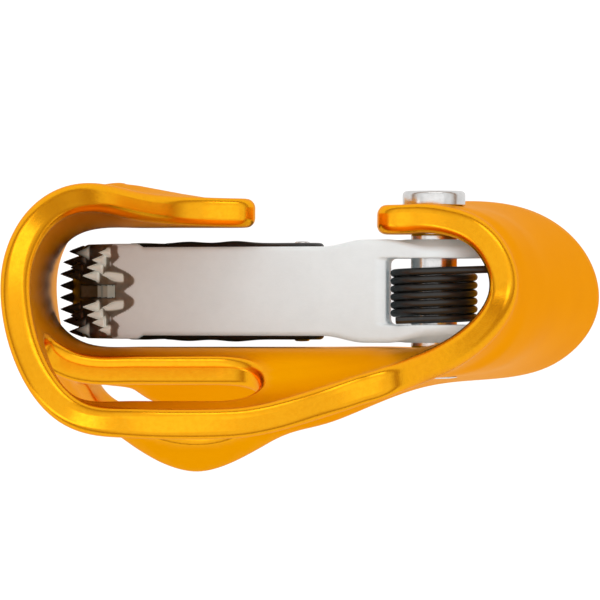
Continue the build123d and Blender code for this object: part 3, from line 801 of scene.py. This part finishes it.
def paint_cam(ob, points, scallop, tooth_gap):
    """Marks the toothed face for painted shade, its upper teeth and slot floor for painted
    highlights, and its lower part for deeper painted shade, for the material.
    """
    x, y, z = points.T
    half = np.abs(y)
    below_top = arm_top(x) - z
    # painted shade: the face below the scalloped edge is marked to be painted dark
    shaded_face = smoothstep((scallop + 0.10) / 0.12) * (below_top > 0.06) * (x > 37)
    fall = 0.56 * np.maximum(0, half - BULGE_Y)
    face = smoothstep((x - face_x(z) + 0.75 + fall) / 0.3) * (z < -10.6)
    face = np.maximum(face, (tooth_gap < 0.12) & (x > 38.5))
    face = np.maximum(face, (half < 1.1) & (x > 40.2) & (z < -10.6) & (z > -21.8))
    shaded_face = np.maximum(shaded_face, face)
    paint(ob, "face_painted_shade", shaded_face)
    # painted highlight on the upper teeth, fading out on the lower rows
    teeth = np.clip(1 - (tooth_gap - 0.03) / 0.15, 0, 1) * (shaded_face > 0.5)
    teeth = teeth * smoothstep((z + 18.5) / 2.5)
    # painted highlight on the slot floor, stronger on its -X part
    slot_floor = (half < 0.8) * (x > 40.2) * (x < 42.9) * (z < -11.5) * (z > -21.0)
    paint(ob, "tooth", np.maximum(teeth, slot_floor * np.where(x < 41.6, 0.75, 0.4)))
    # deeper painted shade on the face's lower part, down in the channel
    paint(ob, "deep_painted_shade", smoothstep((-z - 13.2) / 3.5) * smoothstep((x - 38.5) / 1.5))


def build_cam():
    block = Block((-7.2, -7.2, -41.2), (50.2, 7.2, 7.4))
    X, half = block.X, block.half
    # half width: arm, wider at the hub and the head, narrowing round the hub
    from_axle = block.from_axis(0, 0)
    width = 5.6 + 0.85 * smoothstep((13.9 - X) / 5.2) + 0.45 * smoothstep(X - 36.6)
    width = width - 0.446 * np.maximum(0, from_axle - 3.6) * smoothstep((5.8 - X) / 5.2)
    body = both(block.side(cam_outline()), (half - width) * 0.96, 0.6)
    # the bulge of the face, rounded off towards its sides
    body = both(body, (X - 46.55) * 0.87 + (half - BULGE_Y) * 0.49, 0.6)
    scallop = scallop_field(block)
    body = both(body, (scallop * 0.78).astype(np.float32), 0.1)
    body = block.cut_sides(body, CHEEK, beyond=4.6, edge=0.3, rim=0.25)
    body = cut_hub_window(block, body)
    body = minus(body, from_axle - 2.95, 0.25)
    body = minus(body, block.from_axis(PIN_X, PIN_Z) - 1.01)
    body = block.cut_core(body, POCKET, within=2.2, edge=0.4, rim=0.2)
    body = block.cut_core(body, FACE_SLOT, within=0.86, edge=0.15, rim=0.12)
    body = block.cut_sides(body, HEAD_RELIEF, beyond=3.2, edge=0.4, rim=0.35)
    near = add_teeth(block, body)
    ob, points = solid("toothed_cam", block, body)
    paint_cam(ob, points, block.sample(scallop.astype(np.float32), points),
              block.sample(near, points))
    return ob


cam = build_cam()

# ------------------------------------------------------------------ safety catch
# Outlines are (x, z)
CATCH_LINE = [(13.9, -9.2), (14.2, -6.0), (16.6, -4.7), (19.5, -5.9), (24.0, -8.6), (31.5, -13.4),
              (38.2, -18.5), (39.1, -21.4), (39.0, -25.5), (38.4, -30.5), (36.4, -32.4),
              (34.4, -32.9), (33.2, -34.8), (30.8, -37.0), (28.2, -36.6), (26.6, -33.6),
              (26.0, -28.6), (23.4, -22.6), (18.8, -15.8)]
CATCH_CORE = [(5, -7.2), (12.0, -9.4), (19.7, -13.7), (26.8, -19.4), (34.0, -27.2), (39.4, -34.4),
              (60, -34.4), (60, 20), (5, 20)]
TRIGGER_SIDES = [(10, -60), (10, -20.0), (22.5, -24.4), (31.0, -30.4), (36.0, -34), (36, -60)]
DISH_LINE = [(20.5, -9.6), (26.0, -12.6), (33.0, -17.6), (36.2, -21.2), (36.4, -26.4),
             (33.0, -26.2), (26.0, -19.0), (20.0, -13.4)]
# Grooves across the trigger's -X side; their axes lie GROOVE_OUT further towards -X
GROOVES = [(24.6, -25.3), (25.6, -27.2), (26.0, -29.2), (26.25, -31.2), (26.9, -33.3),
           (27.9, -35.0)]
GROOVE_OUT, GROOVE_R, GROOVE_HALF = 0.55, 0.72, 3.9
CATCH_HALF = 6.12


def build_catch():
    block = Block((12.4, -7.2, -38.6), (41, 7.2, -3.6))
    X, half = block.X, block.half
    # half width, with two swellings and a slight flare at the +X end
    width = (CATCH_HALF + 0.24 * np.exp(-(((X - 31.0) / 2.2) ** 2))
             + 0.28 * np.exp(-(((X - 25.0) / 2.3) ** 2)))
    width = np.where(X > 34, CATCH_HALF + 0.1 * smoothstep((X - 34) / 3), width)
    body = both(block.side(spline_through(CATCH_LINE, 220, closed=True)), half - width, 0.55)
    body = block.cut_core(body, CATCH_CORE, within=4.8, edge=0.5, rim=0.2)
    body = block.cut_sides(body, TRIGGER_SIDES, beyond=4.6, edge=0.5, rim=0.45)
    for x, z in GROOVES:
        groove = np.sqrt((X - x + GROOVE_OUT) ** 2 + (block.Z - z) ** 2) - GROOVE_R
        body = minus(body, both(groove, half - GROOVE_HALF, 0.2), 0.22)
    # shallow dish in the outer side of each cheek
    dish = spline_through(DISH_LINE, 90, closed=True)
    body = block.cut_sides(body, dish, beyond=6.0, edge=0.25, rim=0.25)
    body = minus(body, block.from_axis(PIN_X, PIN_Z) - 1.06, 0.12)
    return solid("catch_body", block, body)[0]


catch = build_catch()


# ------------------------------------------------------------------ turned parts
def lathe(name, profile, sharp, x=0, z=0, count=96):
    """Turns (y, radius) pairs round an axis along Y; a profile that isn't closed gets caps."""
    closed = tuple(profile[0]) == tuple(profile[-1])
    angles = np.linspace(0, 2 * math.pi, count, endpoint=False)
    verts, faces = [], []
    for y, radius in profile[:-1] if closed else profile:
        verts.extend(np.column_stack([x + radius * np.cos(angles), np.full(count, y),
                                      z + radius * np.sin(angles)]))
    for k in range(len(profile) - 1):
        for i in range(count):
            j = (i + 1) % count
            here, after = k * count, (k + 1) * count
            faces.append(tuple(v % len(verts) for v in (here + i, here + j, after + j, after + i)))
    if not closed:
        faces.append(tuple(range(count))[::-1])
        faces.append(tuple(range(len(verts) - count, len(verts))))
    ob = new_object(name, verts, faces)
    mesh = ob.data
    mesh.calc_loop_triangles()
    volume = 0.0
    for triangle in mesh.loop_triangles:
        a, b, c = (mesh.vertices[i].co for i in triangle.vertices)
        volume += a.dot(b.cross(c))
    if volume < 0:
        mesh.flip_normals()
    sharpen(ob, sharp)
    return ob


def rounded_profile(points, radii):
    """Rounds the corners between the first and the last point."""
    t = np.linspace(0, 1, 6)[:, None]
    out = [points[0]]
    for k, radius in enumerate(radii, 1):
        before, corner, after = map(np.array, points[k - 1:k + 2])
        start = corner + (before - corner) / np.linalg.norm(before - corner) * radius
        end = corner + (after - corner) / np.linalg.norm(after - corner) * radius
        out += [tuple(p) for p in corner_bezier(start, corner, end, t, pull=0.5523)]
    return out + [points[-1]]


def build_axle():
    """Rivet with its head on the tab's -Y face and its tail on the back sheet's +Y face."""
    head_y, tail_y = -(TAB_Y + PLATE_T / 2), BACK_Y + PLATE_T / 2
    head_r, shank_r, tail_r = 3.93, 1.99, 2.9
    head = rounded_profile(
        [(head_y + 0.35, 1.5), (head_y + 0.02, head_r), (head_y - 1.78, head_r),
         (head_y - 1.86, 0.02)], [0.12, 0.5])
    tail = rounded_profile(
        [(tail_y + 0.25, 0.02), (tail_y + 0.24, 2.0), (tail_y + 0.09, tail_r),
         (tail_y - 0.02, tail_r), (tail_y - 0.3, 1.5)], [0.4, 0.06, 0.05])
    shank = [(head_y + 0.4, shank_r), (tail_y - 0.35, shank_r)]
    return lathe("axle_rivet", head[::-1] + shank + tail[::-1], sharp=40)


def build_bush():
    low, high = -7.115, 7.07
    outer_r, chamfer_r, bore_r, chamfer = 2.9, 2.75, 2.08, 0.2
    return lathe("axle_bush", [
        (low + chamfer, outer_r), (high - chamfer, outer_r), (high, chamfer_r), (high, bore_r),
        (low, bore_r), (low, chamfer_r), (low + chamfer, outer_r)], sharp=30)


def build_pin():
    end, shoulder, radius = 6.36, 6.3, 0.99
    profile = rounded_profile([(-end, 0.02), (-shoulder, radius), (shoulder, radius), (end, 0.02)],
                              [0.28, 0.28])
    return lathe("catch_rivet", profile, sharp=40, x=PIN_X, z=PIN_Z, count=48)


axle = build_axle()
bush = build_bush()
pin = build_pin()


# ------------------------------------------------------------------ springs
def tube(name, path, radius, count=18):
    """A round wire along a path, slightly narrowed at both ends."""
    tangents = np.gradient(path, axis=0)
    tangents /= np.linalg.norm(tangents, axis=1)[:, None]
    normal = np.cross(tangents[0], (0, 1, 0.01))
    normal /= np.linalg.norm(normal)
    verts, faces = [], []
    angles = np.linspace(0, 2 * math.pi, count, endpoint=False)
    last = len(path) - 1
    for k, tangent in enumerate(tangents):
        normal = normal - tangent * normal.dot(tangent)
        normal /= np.linalg.norm(normal)
        across = np.cross(tangent, normal)
        wire_r = radius * (0.72 if k in (0, last) else 1.0)
        verts.extend(path[k] + wire_r * (np.cos(angles)[:, None] * normal
                                         + np.sin(angles)[:, None] * across))
    for k in range(last):
        here, after = k * count, (k + 1) * count
        for i in range(count):
            j = (i + 1) % count
            faces.append((here + i, after + i, after + j, here + j))
    faces.append(tuple(range(count)))
    faces.append(tuple(last * count + i for i in range(count))[::-1])
    ob = new_object(name, verts, faces)
    sharpen(ob, 50)
    return ob


def coil_path(x, z, y_start, radius, pitch, height, lead, tail, step):
    """A helix along +Y that starts at +Z of its axis, with a straight leg at each end."""
    turn = np.radians(np.arange(0, height / pitch * 360 + 0.1, step))
    coil = np.column_stack([x + radius * np.sin(turn), y_start + pitch * turn / (2 * math.pi),
                            z + radius * np.cos(turn)])
    climb = pitch / (2 * math.pi * radius)
    first_way = np.array([1, climb, 0])
    last_way = np.array([math.cos(turn[-1]), climb, -math.sin(turn[-1])])
    first_way /= np.linalg.norm(first_way)
    last_way /= np.linalg.norm(last_way)
    return np.vstack([
        [coil[0] - first_way * (lead + 0.12)],
        coil[0] - first_way * np.linspace(lead, 0.25, 8)[:, None],
        coil,
        coil[-1] + last_way * np.linspace(0.25, tail, 8)[:, None],
        [coil[-1] + last_way * (tail + 0.12)]])


cam_spring = tube("torsion_spring", coil_path(
    x=0, z=0, y_start=-2.5, radius=5.0, pitch=1.0, height=6.0, lead=6.8, tail=4.8, step=8), 0.475)
catch_spring = tube("catch_hairspring", coil_path(
    x=PIN_X, z=PIN_Z, y_start=-1.0, radius=1.65, pitch=0.56, height=1.96, lead=1.6, tail=3.0,
    step=10), 0.25, count=12)


# ------------------------------------------------------------------ materials, all procedural
def cleared(tree):
    tree.nodes.clear()
    return tree


class Surface:
    """A Principled material; texture scales are per mm."""

    def __init__(self, name):
        self.material = bpy.data.materials.new(name)
        self.material.use_nodes = True
        self.tree = cleared(self.material.node_tree)
        output = self.node("ShaderNodeOutputMaterial")
        self.shader = self.node("ShaderNodeBsdfPrincipled")
        self.feed(output.inputs[0], self.shader.outputs[0])
        self.place = self.node("ShaderNodeTexCoord").outputs["Object"]
        self.place = self.scaled((1 / MM,) * 3)

    def node(self, kind, **settings):
        node = self.tree.nodes.new(kind)
        for key, value in settings.items():
            setattr(node, key, value)
        return node

    def feed(self, socket, value):
        """Links an output to a socket, or sets a number or an RGB colour."""
        if hasattr(value, "is_output"):
            self.tree.links.new(value, socket)
        else:
            socket.default_value = value + (1.0,) if isinstance(value, tuple) else value

    def scaled(self, scale):
        node = self.node("ShaderNodeMapping")
        node.inputs["Scale"].default_value = scale
        self.feed(node.inputs["Vector"], self.place)
        return node.outputs[0]

    def set(self, **values):
        for key, value in values.items():
            self.feed(self.shader.inputs[key.replace("_", " ")], value)

    def noise(self, scale, detail=4.0, rough=0.55, stretch=None, distortion=0.0):
        node = self.node("ShaderNodeTexNoise")
        for key, value in (("Scale", scale), ("Detail", detail), ("Roughness", rough),
                           ("Distortion", distortion)):
            node.inputs[key].default_value = value
        self.feed(node.inputs["Vector"], self.scaled(stretch) if stretch else self.place)
        return node.outputs["Fac"]

    def attribute(self, name):
        return self.node("ShaderNodeAttribute", attribute_name=name).outputs["Fac"]

    def remap(self, value, span, to=(0, 1)):
        node = self.node("ShaderNodeMapRange")
        for key, number in zip(("From Min", "From Max", "To Min", "To Max"), span + to):
            node.inputs[key].default_value = number
        self.feed(node.inputs["Value"], value)
        return node.outputs["Result"]

    def math(self, operation, first, second):
        node = self.node("ShaderNodeMath", operation=operation)
        self.feed(node.inputs[0], first)
        self.feed(node.inputs[1], second)
        return node.outputs[0]

    def times(self, first, second):
        return self.math("MULTIPLY", first, second)

    def plus(self, first, second):
        return self.math("ADD", first, second)

    def mix(self, share, low, high, kind="RGBA"):
        """From low at share 0 to high at share 1."""
        first, result = {"RGBA": (6, 2), "FLOAT": (2, 0)}[kind]
        node = self.node("ShaderNodeMix", data_type=kind)
        self.feed(node.inputs["Factor"], share)
        self.feed(node.inputs[first], low)
        self.feed(node.inputs[first + 1], high)
        return node.outputs[result]

    def mix_number(self, share, low, high):
        return self.mix(share, low, high, kind="FLOAT")

    def bump(self, height, strength, depth):
        node = self.node("ShaderNodeBump")
        node.inputs["Distance"].default_value = depth * MM
        self.feed(node.inputs["Strength"], strength)
        self.feed(node.inputs["Height"], height)
        self.feed(self.shader.inputs["Normal"], node.outputs[0])


def anodised():
    """Orange metal; the rim is smoother and a little worn."""
    mat = Surface("anodised_orange")
    edge = mat.attribute("edge")
    patches = mat.noise(scale=0.09, detail=3)
    fine = mat.noise(scale=1.6, detail=5, rough=0.6)
    grain = mat.noise(scale=9.0, detail=3, rough=0.6)
    scratch = mat.noise(scale=1.0, rough=0.7, stretch=(0.35, 0.35, 6.0), distortion=0.4)
    # orange of the flat sides, then of the rim with its paler wear
    face = mat.mix(mat.remap(patches, span=(0.35, 0.65)),
                   low=(0.93, 0.400, 0.002), high=(0.96, 0.430, 0.004))
    face = mat.mix(mat.remap(fine, span=(0.3, 0.75), to=(0, 0.18)), face,
                   high=(0.88, 0.355, 0.002))
    rim = mat.mix(mat.remap(fine, span=(0.4, 0.7)),
                  low=(0.97, 0.425, 0.006), high=(0.95, 0.395, 0.003))
    wear = mat.times(edge, mat.remap(scratch, span=(0.64, 0.76), to=(0, 0.35)))
    rim = mat.mix(wear, rim, high=(0.98, 0.52, 0.07))
    # nearly neutral to diffuse rays, so that the plate doesn't tint its surroundings
    neutral = mat.times(mat.node("ShaderNodeLightPath").outputs["Is Diffuse Ray"], 0.95)
    mat.set(Base_Color=mat.mix(neutral, mat.mix(edge, face, rim), high=(0.86, 0.84, 0.81)),
            Metallic=1.0, Specular_Tint=(0.95, 0.58, 0.14))
    face_rough = mat.remap(grain, span=(0.3, 0.7), to=(0.33, 0.41))
    rim_rough = mat.remap(fine, span=(0.3, 0.7), to=(0.20, 0.27))
    mat.set(Roughness=mat.mix_number(edge, face_rough, rim_rough))
    mat.set(Coat_Weight=mat.times(edge, 0.12), Coat_Roughness=0.2)
    height = mat.plus(mat.times(grain, 0.6), mat.times(mat.times(scratch, edge), 0.7))
    mat.bump(height, strength=mat.mix_number(edge, low=0.26, high=0.14), depth=0.05)
    return mat.material


def cast_steel():
    """Pale satin steel; the toothed face carries painted shade, darkest lower down, with painted
    highlights on the teeth at its upper end.
    """
    mat = Surface("satin_cast_steel")
    shaded_face, tooth, deep_painted_shade = (mat.attribute(name) for name in ("face_painted_shade", "tooth", "deep_painted_shade"))
    patches = mat.noise(scale=0.12, detail=3)
    mottle = mat.noise(scale=0.9, detail=5, rough=0.6)
    grain = mat.noise(scale=7.0, detail=3, rough=0.6)
    brush = mat.noise(scale=0.9, rough=0.65, stretch=(0.25, 5.0, 5.0))

    def mottled(low, high):
        return mat.mix(mat.remap(mottle, span=(0.3, 0.7)), low, high)

    pale = mat.mix(mat.remap(patches, span=(0.35, 0.65)),
                   low=(0.78, 0.785, 0.785), high=(0.82, 0.825, 0.825))
    pale = mat.mix(mat.remap(mottle, span=(0.45, 0.75), to=(0, 0.3)), pale,
                   high=(0.74, 0.745, 0.745))
    pale = mat.mix(mat.remap(brush, span=(0.5, 0.8), to=(0, 0.2)), pale, high=(0.90, 0.905, 0.91))
    # painted shade of the toothed face, warm like a reflection of the orange plate
    face_shade_and_highlight = mottled(low=(0.20, 0.185, 0.15), high=(0.33, 0.30, 0.25))
    # deeper painted shade lower down the face
    face_shade_and_highlight = mat.mix(deep_painted_shade, face_shade_and_highlight, mottled(low=(0.035, 0.031, 0.027), high=(0.075, 0.068, 0.06)))
    # painted highlight of the lit teeth and the slot floor
    tooth_highlight_colour = mottled(low=(0.98, 0.97, 0.93), high=(0.92, 0.89, 0.84))
    face_shade_and_highlight = mat.mix(tooth, face_shade_and_highlight, tooth_highlight_colour)
    # painted light: a faint glow, bluish on the pale steel and stronger on the teeth with their
    # painted highlights
    tooth_glow = mat.mix(tooth, low=(0.0, 0.0, 0.0), high=(1.2, 1.45, 1.3))
    glow = mat.mix(shaded_face, low=(0.55, 0.78, 0.84), high=tooth_glow)
    mat.set(Emission_Color=glow, Emission_Strength=0.10)
    mat.set(Base_Color=mat.mix(shaded_face, pale, face_shade_and_highlight),
            Metallic=mat.mix_number(shaded_face, 0.12, mat.mix_number(tooth, low=0.45, high=0.05)))
    mat.set(Roughness=mat.mix_number(shaded_face, mat.remap(grain, span=(0.3, 0.7), to=(0.46, 0.56)),
                                     mat.remap(mottle, span=(0.3, 0.7), to=(0.34, 0.46))))
    mat.bump(mat.plus(mat.times(grain, 0.7), mat.times(mottle, 0.5)), strength=0.30, depth=0.05)
    return mat.material


def polished_steel():
    mat = Surface("turned_steel")
    mottle = mat.noise(scale=0.8)
    grain = mat.noise(scale=1.0, detail=5, rough=0.7, stretch=(1.2, 9.0, 1.2))
    colour = mat.mix(mat.remap(mottle, span=(0.35, 0.7)),
                     low=(0.70, 0.695, 0.69), high=(0.60, 0.59, 0.58))
    mat.set(Base_Color=colour, Metallic=1.0,
            Roughness=mat.remap(grain, span=(0.3, 0.75), to=(0.13, 0.27)))
    mat.bump(grain, strength=0.22, depth=0.02)
    return mat.material


def spring_wire(name, base, metallic, rough):
    mat = Surface(name)
    mottle, grain = mat.noise(scale=1.1), mat.noise(scale=6.0, detail=3)
    colour = mat.mix(mat.remap(mottle, span=(0.35, 0.7)), base, tuple(1.6 * c for c in base))
    mat.set(Base_Color=colour, Metallic=metallic,
            Roughness=mat.remap(grain, span=(0.3, 0.7), to=(rough, rough + 0.12)))
    mat.set(Specular_IOR_Level=0.5)
    mat.bump(grain, strength=0.25, depth=0.02)
    return mat.material


def black_plastic():
    mat = Surface("black_moulding")
    mottle, grain = mat.noise(scale=0.7), mat.noise(scale=5.5, rough=0.6)
    colour = mat.mix(mat.remap(mottle, span=(0.35, 0.7)),
                     low=(0.011, 0.011, 0.011), high=(0.020, 0.019, 0.018))
    mat.set(Base_Color=colour, Metallic=0.0,
            Roughness=mat.remap(grain, span=(0.3, 0.7), to=(0.42, 0.56)))
    mat.bump(grain, strength=0.45, depth=0.04)
    return mat.material


# ------------------------------------------------------------------ what rides and replaces what
steel = polished_steel()
for ob, material, body, node, slot in (
    (plate, anodised(), "plate", "frame", "anodised_frame"),
    (cam, cast_steel(), "clamp_cam", "cam", "cast_steel"),
    (catch, black_plastic(), "catch", "safety_catch", "black_plastic"),
    (axle, steel, "plate", "cam_axle", "polished_steel"),
    (bush, steel, "plate", "axle_sleeve", "polished_steel"),
    (pin, steel, "clamp_cam", "catch_pin", "polished_steel"),
):
    ob.data.materials.append(material)
    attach(ob, body)
    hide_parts(node)


def fit_spring(ob, material, node):
    """Gives a spring its material, bakes its placement into its mesh and hides the part it stands
    for.
    """
    ob.data.materials.append(material)
    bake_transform(ob)
    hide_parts(node)


fit_spring(cam_spring,
           spring_wire("black_wire", base=(0.010, 0.010, 0.0095), metallic=0.0, rough=0.30),
           "cam_spring")
fit_spring(catch_spring,
           spring_wire("bright_wire", base=(0.30, 0.295, 0.28), metallic=1.0, rough=0.25),
           "catch_spring")


# ------------------------------------------------------------------ floor, light, camera (metres)
def add_floor():
    low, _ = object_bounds()
    bpy.ops.mesh.primitive_plane_add(size=6, location=(0, 0, low.z - 0.0006))
    floor = bpy.context.object
    floor.name = "floor"
    material = bpy.data.materials.new("pale_floor")
    material.use_nodes = True
    tree = cleared(material.node_tree)
    output, add, diffuse, emission, rays, glow = (tree.nodes.new("ShaderNode" + kind) for kind in (
        "OutputMaterial", "AddShader", "BsdfDiffuse", "Emission", "LightPath", "Mix"))
    diffuse.inputs["Color"].default_value = (0.42, 0.42, 0.42, 1)
    emission.inputs["Color"].default_value = (1, 1, 1, 1)
    # glow towards other rays, and towards the camera
    glow.data_type = "FLOAT"
    glow.inputs[2].default_value, glow.inputs[3].default_value = 0.54, 0.74
    for source, target in (
        (rays.outputs["Is Camera Ray"], glow.inputs["Factor"]),
        (glow.outputs[0], emission.inputs["Strength"]),
        (diffuse.outputs[0], add.inputs[0]),
        (emission.outputs[0], add.inputs[1]),
        (add.outputs[0], output.inputs[0]),
    ):
        tree.links.new(source, target)
    floor.data.materials.append(material)


# Surroundings by height: 0 is straight down, 1 straight up; then RGB
SKY = [
    (0.0, (0.9, 0.9, 0.9)), (1.0, (0.94, 0.94, 0.94)), (0.38, (0.62, 0.62, 0.62)),
    (0.48, (0.40, 0.27, 0.19)), (0.56, (0.40, 0.27, 0.19)), (0.65, (0.74, 0.70, 0.66)),
    (0.76, (0.96, 0.96, 0.96))]


def add_world():
    """White to the camera, the graded sky to everything else."""
    world = bpy.data.worlds.new("studio")
    bpy.context.scene.world = world
    world.use_nodes = True
    tree = cleared(world.node_tree)
    output, white, sky, choose, rays, place, split, ramp, height = (
        tree.nodes.new("ShaderNode" + kind) for kind in (
            "OutputWorld", "Background", "Background", "MixShader", "LightPath", "TexCoord",
            "SeparateXYZ", "ValToRGB", "MapRange"))
    white.inputs["Color"].default_value = (1, 1, 1, 1)
    for background in (white, sky):
        background.inputs["Strength"].default_value = 1.0
    height.inputs["From Min"].default_value = -1
    stops = ramp.color_ramp
    stops.interpolation = "EASE"
    for k, (position, colour) in enumerate(SKY):
        stop = stops.elements[k] if k < 2 else stops.elements.new(position)
        stop.position, stop.color = position, colour + (1,)
    for source, target in (
        (place.outputs["Generated"], split.inputs[0]),
        (split.outputs["Z"], height.inputs["Value"]),
        (height.outputs["Result"], ramp.inputs["Fac"]),
        (ramp.outputs["Color"], sky.inputs["Color"]),
        (rays.outputs["Is Camera Ray"], choose.inputs["Fac"]),
        (sky.outputs[0], choose.inputs[1]),
        (white.outputs[0], choose.inputs[2]),
        (choose.outputs[0], output.inputs["Surface"]),
    ):
        tree.links.new(source, target)


def add_softbox(name, place, size, radiance):
    """A rectangular light that faces the clamp."""
    light = bpy.data.lights.new(name, "AREA")
    light.shape = "RECTANGLE"
    light.size, light.size_y = size
    light.energy = radiance * math.pi * size[0] * size[1]
    ob = bpy.data.objects.new(name, light)
    ob.location = place
    ob.rotation_mode = "QUATERNION"
    aim = Vector((-0.02, 0, 0)) - Vector(place)
    ob.rotation_quaternion = aim.to_track_quat("-Z", "Y")
    bpy.context.scene.collection.objects.link(ob)
    ob.visible_camera = False


def add_camera():
    """Looks straight down from above, with +Y at the bottom of the view."""
    data = bpy.data.cameras.new("camera")
    data.lens, data.sensor_width = 318.2, 36
    data.clip_start, data.clip_end = 0.05, 20
    camera = bpy.data.objects.new("camera", data)
    camera.location = (-0.026715, 0.001107, 0.6642)
    camera.rotation_euler = (0, 0, math.pi)
    bpy.context.scene.collection.objects.link(camera)
    bpy.context.scene.camera = camera


add_floor()
add_world()
add_softbox("top_box", place=(0.02, -0.06, 0.95), size=(1.3, 1.0), radiance=0.30)
add_softbox("front_box", place=(-0.10, -0.75, 0.35), size=(0.55, 0.22), radiance=1.3)
add_softbox("side_box", place=(0.70, 0.12, 0.25), size=(0.20, 0.45), radiance=1.3)
add_camera()

view = bpy.context.scene.view_settings
view.view_transform = "Standard"
view.look = "None"
view.exposure = 0.0
view.gamma = 1.0
